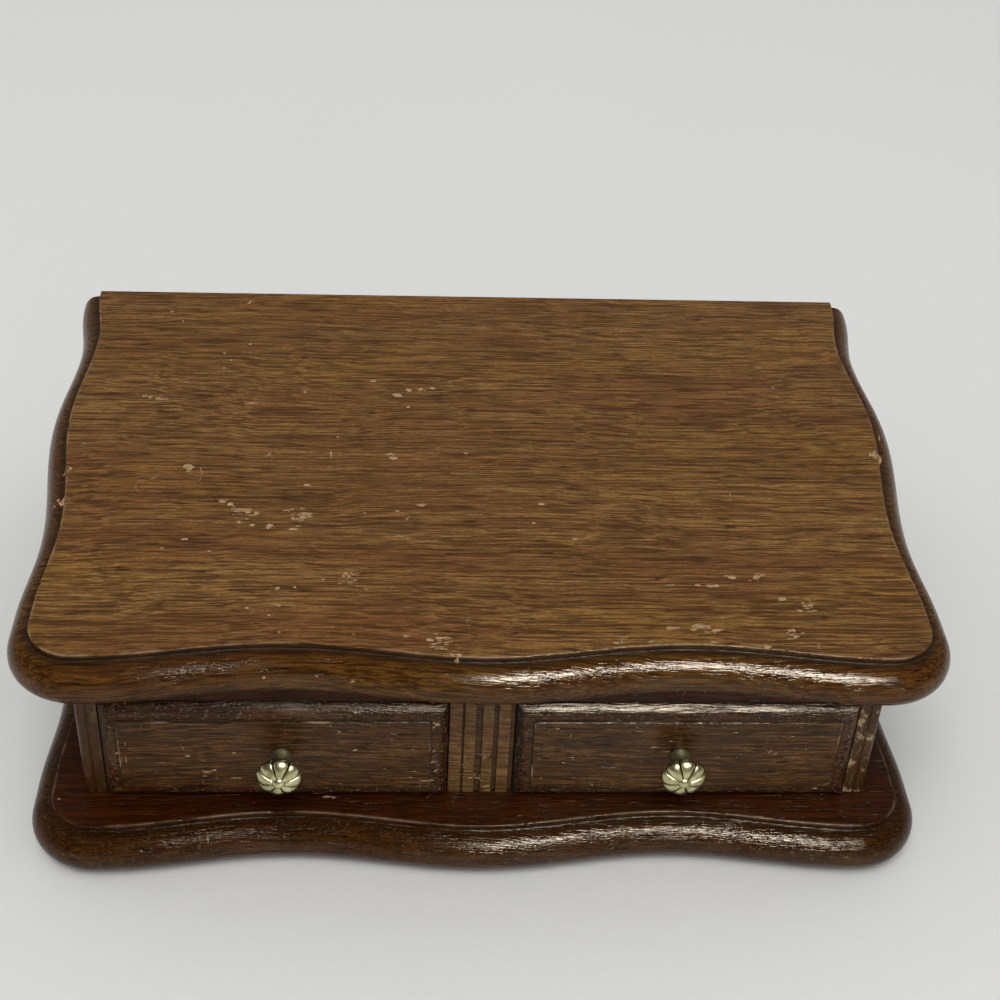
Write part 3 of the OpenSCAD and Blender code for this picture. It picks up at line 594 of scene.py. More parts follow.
def moulding(t, worn, shade_and_dirt):
    """The edge moulding from the underside up: inset, height, wear, darkening and stain. The darkening at the
    top of the round and in the ledge's corner is partly dirt and partly painted shade.
    """
    drop, out, ledge, step, fall, arris = 9.0, 5.4, 1.1, 2.0, 0.2, 0.35
    under = t - drop
    rise = drop - step - fall
    rows = []
    for i in range(14):
        a = math.pi / 2 * i / 14
        rows.append((under * (1 - math.sin(a)), under * (1 - math.cos(a)), 0.0, 0.0, 1.0))
    for i in range(27):
        a = math.pi / 2 * i / 26
        # the top of the round, just under the groove, darkens as painted shade
        lift = max(0.0, (i - 20) / 6)
        rows.append((out * (1 - math.cos(a)), under + rise * math.sin(a),
                     0.1 if i < 8 else 0.0, 0.6 * shade_and_dirt * lift ** 2, 1.0))
    inner, foot = out + ledge, t - step
    # the ledge and its inner corner darken, partly dirt and partly painted shade
    rows += [(out + 0.45 * ledge, foot - 0.6 * fall, 0.0, 0.5 * shade_and_dirt, 1.0),
             (out + 0.85 * ledge, foot - 0.05, 0.0, shade_and_dirt, 1.0),
             (inner, foot + 0.1, 0.0, shade_and_dirt, 1.0), (inner, foot + 0.45, 0.0, 0.9 * shade_and_dirt, 1.0),
             (inner, t - arris - 0.35, 0.15 * worn, 0.7 * shade_and_dirt ** 2, 0.9)]
    for i, (rubbed, dyed) in enumerate(((0.5, 0.6), (0.9, 0.45), (1.0, 0.3), (0.9, 0.15), (0.6, 0.0))):
        a = math.pi / 2 * i / 4
        rows.append((inner + arris * (1 - math.cos(a)), t - arris + arris * math.sin(a),
                     rubbed * worn, 0.0, dyed))
    return rows + [(inner + arris + 0.35, t, 0.15 * worn, 0.0, 0.0), (inner + arris + 0.7, t, 0.0, 0.0, 0.0)]


# The boards' square back edge, and the depth, thickness and underside of each
BACK_Y = 97.6675
BASE_DEPTH, BASE_T, FELT_T = 201.0, 15.0, 1.0
LID_DEPTH, LID_T, LID_LOW = 197.0, 14.96, 64.0


def moulded_board(name, tree, depth, thick, z, material, seed, worn, shade_and_dirt):
    """A serpentine board whose moulding follows its edge. Its flat faces and its square back close it."""
    half = half_outline(depth)
    path = [(x * MM, (BACK_Y - depth + y) * MM, z * MM)
            for x, y in half[::-1] + [(-x, y) for x, y in half[1:]]]
    rows = moulding(thick, worn, shade_and_dirt)
    inset, height, wear, grime, stain = zip(*rows)
    profile = polyline("moulding", [(x * MM, -y * MM, 0.0) for x, y in zip(inset, height)])
    holder = placed("moulding", with_marks(profile, wear=wear, grime=grime, stain=stain))
    swept = grown(polyline(name, path), tree, {
        "Moulding": holder, "Chip Depth": 0.00045, "Chip Size": 420.0, "Seed": seed, "Finish": material})
    bpy.data.objects.remove(holder)
    m, n = len(rows), len(path)
    shape = bmesh.new()
    shape.from_mesh(swept)
    shape.verts.ensure_lookup_table()
    left_end, right_end = range(m), range((n - 1) * m, n * m)
    for i in (*left_end, *right_end):
        shape.verts[i].co.y = BACK_Y * MM
    for rim in (range(0, n * m, m), range(n * m - 1, 0, -m), (*left_end, *reversed(right_end))):
        shape.faces.new([shape.verts[i] for i in rim])
    bmesh.ops.recalc_face_normals(shape, faces=shape.faces)
    made = bpy.data.meshes.new(name)
    shape.to_mesh(made)
    shape.free()
    return made


def boxes(name, spans):
    """Closed boxes, each from its lowest to its highest corner."""
    points, faces = [], []
    for low, high in spans:
        k = len(points)
        points += [tuple(v * MM for v in (x, y, z)) for z in (low[2], high[2])
                   for x, y in ((low[0], low[1]), (high[0], low[1]), (high[0], high[1]), (low[0], high[1]))]
        faces += [tuple(k + i for i in f) for f in
                  ((3, 2, 1, 0), (4, 5, 6, 7), (0, 1, 5, 4), (1, 2, 6, 5), (2, 3, 7, 6), (3, 0, 4, 7))]
    return mesh_of(name, points, faces)


def cut(mesh, tool):
    """The mesh with the tool's shape taken out of it."""
    a, b = placed("cut", mesh), placed("tool", tool)
    modifier = a.modifiers.new("cut", "BOOLEAN")
    modifier.object = b
    modifier.operation = "DIFFERENCE"
    modifier.solver = "EXACT"
    made = bpy.data.meshes.new_from_object(a.evaluated_get(bpy.context.evaluated_depsgraph_get()))
    for o in (a, b):
        bpy.data.objects.remove(o)
    return made


edge_tree = board_tree()
base_mesh = moulded_board("base_board_walnut", edge_tree, BASE_DEPTH, BASE_T, FELT_T, SHADE_DARKENED_BASE_WOOD,
                          seed=3.0, worn=0.7, shade_and_dirt=0.4)
put("base_board_walnut", base_mesh, "case", SHADE_DARKENED_BASE_WOOD, ["base_board"])


def lid_board():
    """The lid, with a stepped rebate for the mirror and its frame, and a mortise for each hinge leaf."""
    mesh = moulded_board("lid_board_walnut", edge_tree, LID_DEPTH, LID_T, LID_LOW, LID_WOOD,
                         seed=8.0, worn=0.8, shade_and_dirt=0.85)
    below = LID_LOW - 1
    for first, last in (("mirror_frame_left", "mirror_frame_right"), ("mirror_glass", "mirror_card")):
        low, high = box_mm(first)[0], box_mm(last)[1]
        mesh = cut(mesh, boxes("rebate", [((low.x, low.y, below), tuple(high))]))
    leaves = [box_mm("hinge_" + side + "_lid_leaf") for side in ("left", "right")]
    mortises = [((low.x, BACK_Y - 7.6, below), (high.x, BACK_Y + 1, LID_LOW + 1)) for low, high in leaves]
    mesh = cut(mesh, boxes("mortises", mortises))
    put("lid_board_walnut", mesh, "lid", LID_WOOD, ["lid_board"])


lid_board()


# Case boards, drawer boxes, hinge leaves and the mirror, with their edges rubbed round:
# the body, finish, slot and rounding in millimetres that these solids share
RUBBED = [
    ("case", CASE_WOOD_Y, "walnut", 0.3, "side_left side_right"),
    ("case", CASE_WOOD_X, "walnut", 0.3, "back_board"),
    ("case", SHADE_DARKENED_BASE_WOOD, "walnut", 0.3, "front_rail"),
    ("case", BOX_WOOD_Y, "drawer_wood", 0.3, "partition guide_left guide_right"),
    ("case", BOX_WOOD_X, "drawer_wood", 0.2, "tray_floor"),
    ("case", CASE_WOOD_X, "walnut", 0.4, "tray_front"),
    ("case", HINGE_BRASS, "brass", 0.12, "hinge_left_case_leaf hinge_right_case_leaf"),
    ("case", HINGE_BRASS, "brass", 0.1, "hinge_left_pin hinge_right_pin"),
    ("lid", HINGE_BRASS, "brass", 0.12, "hinge_left_lid_leaf hinge_right_lid_leaf"),
    ("lid", MIRROR, "mirror", 0.3, "mirror_glass"),
    ("lid", CARD, "card", 0.05, "mirror_card"),
    ("lid", SHADE_DARKENED_BASE_WOOD, "walnut_base", 0.15, "mirror_frame_front mirror_frame_back"),
    ("lid", CASE_WOOD_Y, "walnut_base", 0.15, "mirror_frame_left mirror_frame_right"),
]
for drawer in ("drawer_left", "drawer_right"):
    RUBBED += [
        (drawer, BOX_WOOD_Y, "drawer_wood", 0.35, drawer + "_outer_side " + drawer + "_inner_side"),
        (drawer, BOX_WOOD_X, "drawer_wood", 0.35, drawer + "_back " + drawer + "_bottom"),
    ]
# how much bare wood the sides' front faces get; the right one gets much more, which makes it lighter
FRONT_BARE = {"side_left": 0.2, "side_right": 2.2}
for body, material, slot, width, names in RUBBED:
    for name in names.split():
        worn_copy = softened(name, width, FRONT_BARE.get(name, 0.0))
        put(name + "_rubbed", worn_copy, body, material, [name])


def turned(name, rows, centre, sides=48):
    """A shape turned about the axis that comes out of the drawer front: rows of radius, reach and how dark
    the point is made.
    """
    points, grime = [], []
    for r, out, dirt_and_shade_share in rows:
        for i in range(sides):
            a = 2 * math.pi * i / sides
            points.append(((centre[0] + r * math.cos(a)) * MM, (centre[1] - out) * MM,
                           (centre[2] + r * math.sin(a)) * MM))
            grime.append(dirt_and_shade_share)
    return with_marks(mesh_of(name, points, skin_faces(sides, len(rows))), grime=grime)


def framed_panel(low, high, front, left_chamfer_shade):
    """A drawer front: a thick board whose face rises through a chamfered border to a flat field.
    Its last argument blackens the chamfer at its left end with painted shade."""
    border, rise, field = 5.0, 2.3, 3.0
    back = 9.2
    # the last of these rows darkens the side face at the front edge: painted shade of the gap round the
    # drawer
    rows = [(0.4, -back, 0.3, 0.0, 0.0), (0.1, -back + 0.1, 0.6, 0.0, 0.0), (0.0, -back + 0.4, 0.3, 0.0, 0.0),
            (0.0, -0.3, 0.0, 0.8, 1.0)]
    chamfer, bevel = 1.8, 3.4
    for i in range(8):
        x = chamfer * i / 7
        rows.append((x, 1.6 * x - x * x / 3.6, 0.10, 0.0, 1.0 - 0.15 * i / 7))
    for i in range(1, 8):
        u = i / 7
        rows.append((chamfer + (bevel - chamfer) * u, rise - 0.32 * (1 - u) ** 3, 0.10, 0.0, 0.85 - 0.15 * u))
    rows.append((0.5 * (bevel + border), rise + 0.01, 0.05, 0.0, 0.55))
    # at the border's foot painted shade darkens the quirk before the field steps up
    rows += [(border - 0.04, rise + 0.03, 0.0, 0.7, 0.4), (border, rise + 0.12, 0.0, 0.9, 0.4),
             # the field's arris is made pale with wear, partly real wear and partly a painted highlight
             (border + 0.02, field - 0.16, 0.5, 0.0, 0.5), (border + 0.08, field - 0.05, 1.0, 0.0, 0.0),
             (border + 0.2, field, 0.9, 0.0, 0.0), (border + 0.45, field, 0.1, 0.0, 0.0),
             (border + 0.9, field, 0.0, 0.0, 0.0)]
    width, tall = high[0] - low[0], high[1] - low[1]
    across, up = max(2, int(width / 1.5)), max(2, int(tall / 1.5))
    rim = ([(i / across, 0.0) for i in range(across)] + [(1.0, i / up) for i in range(up)]
           + [(1 - i / across, 1.0) for i in range(across)] + [(0.0, 1 - i / up) for i in range(up)])
    points, wear, grime, stain = [], [], [], []
    for inset, out, worn, dirt_and_shade_share, dyed in rows:
        for u, v in rim:
            x = low[0] + inset + u * (width - 2 * inset)
            z = low[1] + inset + v * (tall - 2 * inset)
            lump = noise.noise(Vector((x * 0.35, out * 0.6, z * 0.35)))
            dent = max(0.0, lump - 0.15) * worn * 0.35
            points.append((x * MM, (front - out + dent) * MM, z * MM))
            wear.append(worn)
            # the larger of the row's own darkening and the painted shade on the left chamfer
            grime.append(max(dirt_and_shade_share, left_chamfer_shade if u == 0.0 and inset < chamfer else 0.0))
            stain.append(dyed)
    made = mesh_of("panel", points, skin_faces(len(rim), len(rows)))
    return with_marks(made, wear=wear, grime=grime, stain=stain)


# Where the drawer fronts' rims stand
FRONT_Y = -83.3325
# how dark the painted shade on each front's left chamfer is
for side, left_shade in (("left", 0.35), ("right", 0.9)):
    low, high = box_mm("drawer_" + side + "_front")
    mesh = framed_panel((low.x, low.z), (high.x, high.z), FRONT_Y, left_shade)
    screw_low, screw_high = box_mm("drawer_" + side + "_knob_screw")
    centre = ((screw_low.x + screw_high.x) / 2, screw_high.y + 1.0, (screw_low.z + screw_high.z) / 2)
    mesh = cut(mesh, turned("bore", [(2.7, 0.0, 0.0), (2.7, 2.65, 0.0)], centre))
    put("drawer_" + side + "_front_walnut", mesh, "drawer_" + side, FRONT_WOOD,
        ["drawer_" + side + "_front"], 40)


def reed_tree():
    """Stands an upright reed on each spot, as wide as its share says, and joins them to their backing."""
    tree, given = geometry_tree("reeded_stile", [
        ("Reed", "Object"), ("Backing", "Object"), ("Finish", "Material")])
    reed = node(tree, "GeometryNodeObjectInfo", {"Object": given["Reed"]}, "Geometry")
    backing = node(tree, "GeometryNodeObjectInfo", {"Object": given["Backing"]}, "Geometry")
    spots = node(tree, "GeometryNodeMeshToPoints", {"Mesh": given["Geometry"]})
    share = node(tree, "GeometryNodeInputNamedAttribute", {"Name": "share"}, data_type="FLOAT")
    size = node(tree, "ShaderNodeCombineXYZ", {0: share, 1: 1.0, 2: 1.0})
    row = node(tree, "GeometryNodeInstanceOnPoints", {"Points": spots, "Instance": reed, "Scale": size})
    joined = tree.nodes.new("GeometryNodeJoinGeometry")
    tree.links.new(row, joined.inputs[0])
    tree.links.new(backing, joined.inputs[0])
    close_tree(tree, joined.outputs[0], given["Finish"])
    return tree


def reed_mesh(half, rise, tall):
    """One upright reed: a flat face with rubbed corners on straight walls, its ends closed."""
    corner = 0.35
    # the walls darken towards the groove floor: painted shade in the grooves, with dark varnish
    rows = [(-half, 0.3, 0.0, 1.0), (-half, -0.1, 0.0, 1.0), (-half, -0.5 * rise, 0.0, 0.75)]
    bend = [(corner * (1 - math.cos(a)), rise - corner + corner * math.sin(a))
            for a in (math.pi / 2 * i / 5 for i in range(6))]
    rows += [(-half + x, -y, 0.35, 0.25 * (1 - i / 5)) for i, (x, y) in enumerate(bend)]
    rows += [(x * half / 3, -rise - 0.03, 0.1, 0.0) for x in (-1, 0, 1)]
    rows += [(-x, y, worn, dirt_and_shade_share) for x, y, worn, dirt_and_shade_share in reversed(rows[:-3])]
    steps = 28
    points, wear, grime = [], [], []
    for k in range(steps + 1):
        for x, y, worn, dirt_and_shade_share in rows:
            points.append((x * MM, y * MM, tall * k / steps * MM))
            wear.append(worn)
            grime.append(dirt_and_shade_share)
    return with_marks(mesh_of("reed", points, skin_faces(len(rows), steps + 1)), wear=wear, grime=grime)


# Where each reed starts and ends, from the stile's left edge
REEDS = ((0.0, 3.8), (4.35, 7.8), (9.6, 12.9), (14.2, 17.8))


def reeded_stile():
    """The stile between the drawers. Its hand-cut grooves aren't all as wide, and a shadow gap ends it."""
    low, high = box_mm("centre_stile")
    half, rise = 1.7, 1.15
    sunk = low.y + rise + 0.04
    reed = placed("reed", reed_mesh(half, rise, high.z - low.z))
    backing = boxes("backing", [((low.x, sunk, low.z), tuple(high))])
    # the backing, seen only down the grooves, is darkened as painted shade
    backing = placed("backing", with_marks(backing, grime=[0.6] * len(backing.vertices)))
    spots = bpy.data.meshes.new("spots")
    spots.from_pydata([((low.x + (a + b) / 2) * MM, sunk * MM, low.z * MM) for a, b in REEDS], [], [])
    mesh = grown(with_marks(spots, share=[(b - a) / 2 / half for a, b in REEDS]), reed_tree(), {
        "Reed": reed, "Backing": backing, "Finish": STILE_WOOD})
    for tool in (reed, backing):
        bpy.data.objects.remove(tool)
    put("centre_stile_reeded", mesh, "case", STILE_WOOD, ["centre_stile"], 50)


reeded_stile()


# The knobs: radius, reach from the drawer's field to the middle of the head, half the head's thickness,
# and how far the first petal is turned, as a share of a petal
KNOB_R, KNOB_REACH, KNOB_HALF_T = 6.7, 8.4, 3.1
PETALS = 8.0
PETAL_TURN = 7.0 / 45.0


def knob_tree():
    """Draws a flattened ball into full, rounded petals with narrow grooves between them."""
    tree, given = geometry_tree("lobed_knob", [
        ("Petals", "Float"), ("Radius", "Float"), ("Half Thickness", "Float"), ("Fullness", "Float"),
        ("Groove", "Float"), ("Centre", "Vector"), ("Finish", "Material")])
    ball = node(tree, "GeometryNodeMeshUVSphere", {"Segments": 256, "Rings": 64, "Radius": 1.0}, "Mesh")
    spot = tree.nodes.new("ShaderNodeSeparateXYZ")
    tree.links.new(node(tree, "GeometryNodeInputPosition"), spot.inputs[0])
    x, y, z = spot.outputs
    turn = maths(tree, "DIVIDE", maths(tree, "ARCTAN2", y, x), 2 * math.pi)
    part = maths(tree, "FRACT", maths(tree, "MULTIPLY_ADD", turn, given["Petals"], 16.5 + PETAL_TURN))
    away = maths(tree, "ABSOLUTE", maths(tree, "MULTIPLY_ADD", part, 2.0, -1.0))
    bulge = maths(tree, "MULTIPLY", maths(tree, "POWER", away, 2.2), given["Fullness"])
    notch = maths(tree, "MULTIPLY", between(tree, away, 0.80, 1.0), given["Groove"])
    drop = maths(tree, "ADD", bulge, notch)
    reach = maths(tree, "MULTIPLY", maths(tree, "SUBTRACT", 1.0, drop), given["Radius"])
    puff = maths(tree, "SUBTRACT", 1.0, maths(tree, "MULTIPLY", drop, 1.7))
    lift = maths(tree, "MULTIPLY", maths(tree, "MULTIPLY", z, given["Half Thickness"]), puff)
    moved = node(tree, "ShaderNodeCombineXYZ", {0: maths(tree, "MULTIPLY", x, reach),
                                                1: maths(tree, "MULTIPLY", y, reach), 2: lift})
    head = node(tree, "GeometryNodeSetPosition", {"Geometry": ball, "Position": moved})
    # the grooves between the petals are darkened, partly dirt and partly painted shade
    dark = between(tree, away, 0.80, 0.93)
    head = node(tree, "GeometryNodeStoreNamedAttribute", {"Geometry": head, "Name": "grime", "Value": dark},
                data_type="FLOAT", domain="POINT")
    placed = node(tree, "GeometryNodeTransform", {"Geometry": head, "Translation": given["Centre"],
                                                  "Rotation": (math.pi / 2, 0.0, 0.0)})
    joined = tree.nodes.new("GeometryNodeJoinGeometry")
    tree.links.new(placed, joined.inputs[0])
    tree.links.new(given["Geometry"], joined.inputs[0])
    close_tree(tree, joined.outputs[0], given["Finish"])
    return tree


def joined_mesh(name, meshes):
    shape = bmesh.new()
    for m in meshes:
        shape.from_mesh(m)
    made = bpy.data.meshes.new(name)
    shape.to_mesh(made)
    shape.free()
    return made


def knob(side, tree):
    """A drawer's knob: a flared neck, the lobed head, and the button that holds the head on."""
    low, high = box_mm("drawer_" + side + "_knob")
    x, z = (low.x + high.x) / 2, (low.z + high.z) / 2
    # the third value of each row darkens it: the neck and the foot of the button go nearly black
    neck = turned("neck", [
        (3.1, 0.0, 1.0), (3.1, 0.4, 0.8), (3.0, 0.9, 0.7), (2.75, 1.6, 0.7), (2.5, 2.4, 0.75),
        (2.4, 3.6, 0.8), (2.4, 5.2, 0.9), (2.6, 5.9, 1.0), (2.9, KNOB_REACH - 1.5, 1.0)], (x, high.y, z))
    top = KNOB_REACH + KNOB_HALF_T
    dome = [(1.95 * math.sin(a), top - 0.75 + 1.42 * math.cos(a), 0.0 if a < 1.25 else 0.9)
            for a in (math.pi / 2 * k / 10 for k in range(10, 0, -1))]
    button = turned("button", [(2.05, top - 1.4, 1.0), *dome, (0.15, top + 0.67, 0.0)], (x, high.y, z))
    mesh = grown(joined_mesh("knob_parts", [neck, button]), tree, {
        "Petals": PETALS, "Radius": KNOB_R * MM, "Half Thickness": KNOB_HALF_T * MM,
        "Fullness": 0.06, "Groove": 0.12, "Centre": Vector((x, high.y - KNOB_REACH, z)) * MM,
        "Finish": KNOB_BRASS})
    put("drawer_" + side + "_knob_lobed", mesh, "drawer_" + side, KNOB_BRASS,
        ["drawer_" + side + "_knob"], 50)


petal_tree = knob_tree()
knob("left", petal_tree)
knob("right", petal_tree)


def rounded_ring(low, high, inset, radius, z, steps=14):
    """Points round a rectangle with rounded corners, at one height."""
    x0, y0, x1, y1 = low[0] + inset, low[1] + inset, high[0] - inset, high[1] - inset
    r = max(0.05, min(radius, (x1 - x0) / 2 - 0.01, (y1 - y0) / 2 - 0.01))
    corners = ((x1 - r, y0 + r, -90), (x1 - r, y1 - r, 0), (x0 + r, y1 - r, 90), (x0 + r, y0 + r, 180))
    ring = []
    for k, (cx, cy, start) in enumerate(corners):
        for i in range(6):
            a = math.radians(start + 90 * i / 5)
            ring.append((cx + r * math.cos(a), cy + r * math.sin(a)))
        a = math.radians(start + 90)
        here = (cx + r * math.cos(a), cy + r * math.sin(a))
        nx, ny, turn = corners[(k + 1) % 4]
        b = math.radians(turn)
        there = (nx + r * math.cos(b), ny + r * math.sin(b))
        ring += [(here[0] + (there[0] - here[0]) * i / steps, here[1] + (there[1] - here[1]) * i / steps)
                 for i in range(1, steps)]
    return [(x, y, z) for x, y in ring]


def stacked(name, rings, ruffle=0.0):
    """A closed skin through rings of equal count, its first and last ring capped.
    ruffle sinks the points a little by a smooth noise, as cloth lies."""
    points = []
    for k, ring in enumerate(rings):
        for x, y, z in ring:
            sink = 0.0 if k in (0, len(rings) - 1) else ruffle * noise.noise(Vector((x, y, z)) * 0.09)
            points.append((x * MM, y * MM, (z - abs(sink)) * MM))
    return outward(mesh_of(name, points, skin_faces(len(rings[0]), len(rings))))


def velvet_mat(side):
    """The velvet laid in a drawer: a thin mat with a soft rolled edge."""
    node_name = "drawer_" + side + "_velvet"
    low, high = box_mm(node_name)
    rings = [rounded_ring(low, high, inset, radius, z) for inset, radius, z in (
        (0.35, 2.0, low.z), (0.0, 2.2, low.z + 0.3), (0.0, 2.2, high.z - 0.35), (0.2, 2.0, high.z - 0.08),
        *((inset, 2.0, high.z) for inset in (0.5, 3, 7, 12, 18, 25, 33, 40)))]
    mesh = stacked("mat", rings, 0.3)
    made = put(node_name + "_mat", mesh, "drawer_" + side, VELVET, [node_name], 60)


def tray_velvet():
    """The tray's velvet: up the four walls, over a soft rim, with a rounded corner where wall meets floor."""
    low, high = box_mm("tray_lining")
    pile_t, floor_z, bend_r = 1.0, 43.5, 1.5
    rows = [(0.2, 0.6, low.z), (0.0, 0.6, low.z + 0.3)]
    rows += [(0.0, 0.6, low.z + (high.z - low.z) * k / 8) for k in range(1, 8)]
    rows += [(0.5 - 0.5 * math.cos(a), 0.8, high.z - 0.5 + 0.5 * math.sin(a))
             for a in (math.pi * i / 6 for i in range(7))]
    rows += [(pile_t + 0.12 * math.sin(k), 1.6, high.z - (high.z - floor_z - 2) * k / 8) for k in range(1, 8)]
    rows += [(pile_t + bend_r * (1 - math.cos(a)), 2.0, floor_z + bend_r * (1 - math.sin(a)))
             for a in (math.pi / 2 * i / 5 for i in range(6))]
    rows += [(inset, 2.0, floor_z) for inset in (5, 9, 14, 20, 27, 35, 44, 54, 64, 74)]
    mesh = stacked("lining", [rounded_ring(low, high, *row) for row in rows], 0.25)
    made = put("tray_lining_velvet", mesh, "case", VELVET, ["tray_lining"], 60)


def padded_bar(node_name, along):
    """A tray divider: padded card under velvet, with a round top, slightly full sides and pinched ends."""
    low, high = box_mm(node_name)
    start, end = low[along], high[along]
    across = 1 - along
    middle, half = (low[across] + high[across]) / 2, (high[across] - low[across]) / 2
    tall = high.z - low.z
    steps = max(30, int((end - start) / 2))
    rings = []
    for k in range(steps + 1):
        t = k / steps
        near_end = min(t, 1 - t) * (end - start)
        pinch = 1 - 0.22 * max(0.0, 1 - near_end / 2.5) ** 2
        place = start + (end - start) * t
        ring = []
        for i in range(28):
            a = 2 * math.pi * i / 28
            u, w = math.cos(a), math.sin(a)
            wide = math.copysign(abs(u) ** 0.55, u) * half * 0.97 * pinch
            up = tall / 2 + math.copysign(abs(w) ** (0.75 if w > 0 else 0.3), w) * tall / 2
            lump = noise.noise(Vector((place * 0.12, a * 2.0, node_name.count("c")))) * 0.12
            wide += lump * u * (0.6 + 0.4 * math.sin(up / tall * math.pi))
            wide = max(-half, min(half, wide))
            up = low.z + min(tall, up * (1 - 0.012 * (1 + lump * 6)))
            ring.append((place, middle + wide, up) if along == 0 else (middle + wide, place, up))
        rings.append(ring)
    put(node_name + "_padded", stacked("bar", rings), "case", VELVET, [node_name], 60)


# A roll is swollen as cloth at this many times its size for this many frames, and by no more than this
GROW, FRAMES, SWELL = 20.0, 20, 0.45


def swollen(mesh):
    """The mesh blown up a little, as cloth with pressure inside it."""
    rest = [v.co.copy() for v in mesh.vertices]
    mesh.transform(Matrix.Scale(GROW, 4))
    roll = placed("roll", mesh)
    cloth = roll.modifiers.new("swell", "CLOTH")
    cloth.settings.quality = 6
    cloth.settings.mass = 0.3
    cloth.settings.tension_stiffness = 12
    cloth.settings.compression_stiffness = 12
    cloth.settings.bending_stiffness = 0.8
    cloth.settings.use_pressure = True
    cloth.settings.uniform_pressure_force = 4
    cloth.settings.shrink_min = -0.04
    cloth.settings.effector_weights.gravity = 0.0
    cloth.point_cache.frame_start = 1
    cloth.point_cache.frame_end = FRAMES
    for frame_number in range(1, FRAMES + 1):
        bpy.context.scene.frame_set(frame_number)
    made = bpy.data.meshes.new_from_object(roll.evaluated_get(bpy.context.evaluated_depsgraph_get()))
    bpy.data.objects.remove(roll)
    bpy.context.scene.frame_set(1)
    made.transform(Matrix.Scale(1 / GROW, 4))
    for v, start in zip(made.vertices, rest):
        move = v.co - start
        if move.length > SWELL * MM:
            v.co = start + move.normalized() * SWELL * MM
    return made


def stuffed_roll(radius, length):
    """One ring roll along X, gathered at its ends. Cloth with pressure inside swells it against them."""
    around, body, end = 40, 56, 1.6
    gathers = [(0.25 + 0.75 * math.sin(a), end * (1 - math.cos(a)))
               for a in (math.pi / 2 * k / 5 for k in range(6))]
    stations = gathers + [(1.0, end + (length - 2 * end) * k / body) for k in range(1, body)]
    stations += [(share, length - out) for share, out in reversed(gathers)]
    points = []
    for share, out in stations:
        for i in range(around):
            a = 2 * math.pi * i / around
            pucker = 1 - 0.05 * (1 - share) * math.cos(10 * a)
            lump = 1 + 0.03 * noise.noise(Vector((out * 0.14, 2 * math.cos(a), 2 * math.sin(a))))
            r = radius * share * pucker * lump
            points.append((out * MM, r * math.cos(a) * MM, r * math.sin(a) * MM))
    *sides, first, last = skin_faces(around, len(stations))
    sides = [(side[0], *side[:0:-1]) for side in sides]
    mesh = outward(mesh_of("roll", points, sides + [first[::-1], last[::-1]]))
    return swollen(mesh)


def roll_tree():
    """Lays the same stuffed roll side by side, each one turned about its length by its own amount."""
    tree, given = geometry_tree("ring_roll_row", [
        ("Roll", "Object"), ("Count", "Int"), ("Pitch", "Float"), ("Start", "Vector"), ("Seed", "Int"),
        ("Finish", "Material")])
    roll = node(tree, "GeometryNodeObjectInfo", {"Object": given["Roll"]}, "Geometry")
    step = node(tree, "ShaderNodeCombineXYZ", {1: given["Pitch"]})
    places = node(tree, "GeometryNodeMeshLine", {
        "Count": given["Count"], "Start Location": given["Start"], "Offset": step})
    turn = node(tree, "FunctionNodeRandomValue", {2: 0.0, 3: 6.28, "Seed": given["Seed"]}, 1,
                data_type="FLOAT")
    turn = node(tree, "ShaderNodeCombineXYZ", {0: turn})
    row = node(tree, "GeometryNodeInstanceOnPoints", {"Points": places, "Instance": roll, "Rotation": turn})
    smooth = node(tree, "GeometryNodeSubdivisionSurface", {"Mesh": node(
        tree, "GeometryNodeRealizeInstances", {"Geometry": row}), "Level": 1})
    close_tree(tree, smooth, given["Finish"])
    return tree


def ring_roll_row():
    """The row of rolls that rings are pushed between."""
    low, high = box_mm("ring_rolls")
    radius = (high.z - low.z) / 2
    count = 10
    pitch = (high.y - low.y - 2 * radius) / (count - 1)
    roll = placed("roll", stuffed_roll(radius - 0.55, high.x - low.x - 0.5))
    start = Vector((low.x + 0.25, low.y + radius, low.z + radius - 0.1)) * MM
    mesh = grown(bpy.data.meshes.new("rolls"), roll_tree(), {
        "Roll": roll, "Count": count, "Pitch": pitch * MM, "Start": start, "Seed": 5, "Finish": VELVET})
    bpy.data.objects.remove(roll)
    put("ring_rolls_stuffed", mesh, "case", VELVET, ["ring_rolls"], 60)


def inset_outline(depth, inset):
    """The whole serpentine outline moved inwards, its back edge kept."""
    half = half_outline(depth)
    moved = []
    for i, (x, y) in enumerate(half):
        if i == 0:
            nx, ny = 0.0, -1.0
        elif i == len(half) - 1:
            nx, ny = 1.0, 0.0
        else:
            tx, ty = half[i + 1][0] - half[i - 1][0], half[i + 1][1] - half[i - 1][1]
            size = math.hypot(tx, ty)
            nx, ny = ty / size, -tx / size
        moved.append((x - inset * nx, y - inset * ny + BACK_Y - depth))
    return moved[::-1] + [(-x, y) for x, y in moved[1:]]


def foot_felt():
    """The felt glued under the base, a little smaller than its outline."""
    rings = [[(x, y, z) for x, y in inset_outline(BASE_DEPTH, inset)]
             for inset, z in ((7.5, FELT_T), (7.15, 0.9), (7.1, 0.4), (7.2, 0.1), (7.6, 0.0))]
    made = put("base_felt_sheet", stacked("felt", rings), "case", FELT, ["base_felt"], 60)


velvet_mat("left")
velvet_mat("right")
tray_velvet()
padded_bar("divider_long", 1)
padded_bar("divider_cross", 0)
ring_roll_row()
foot_felt()


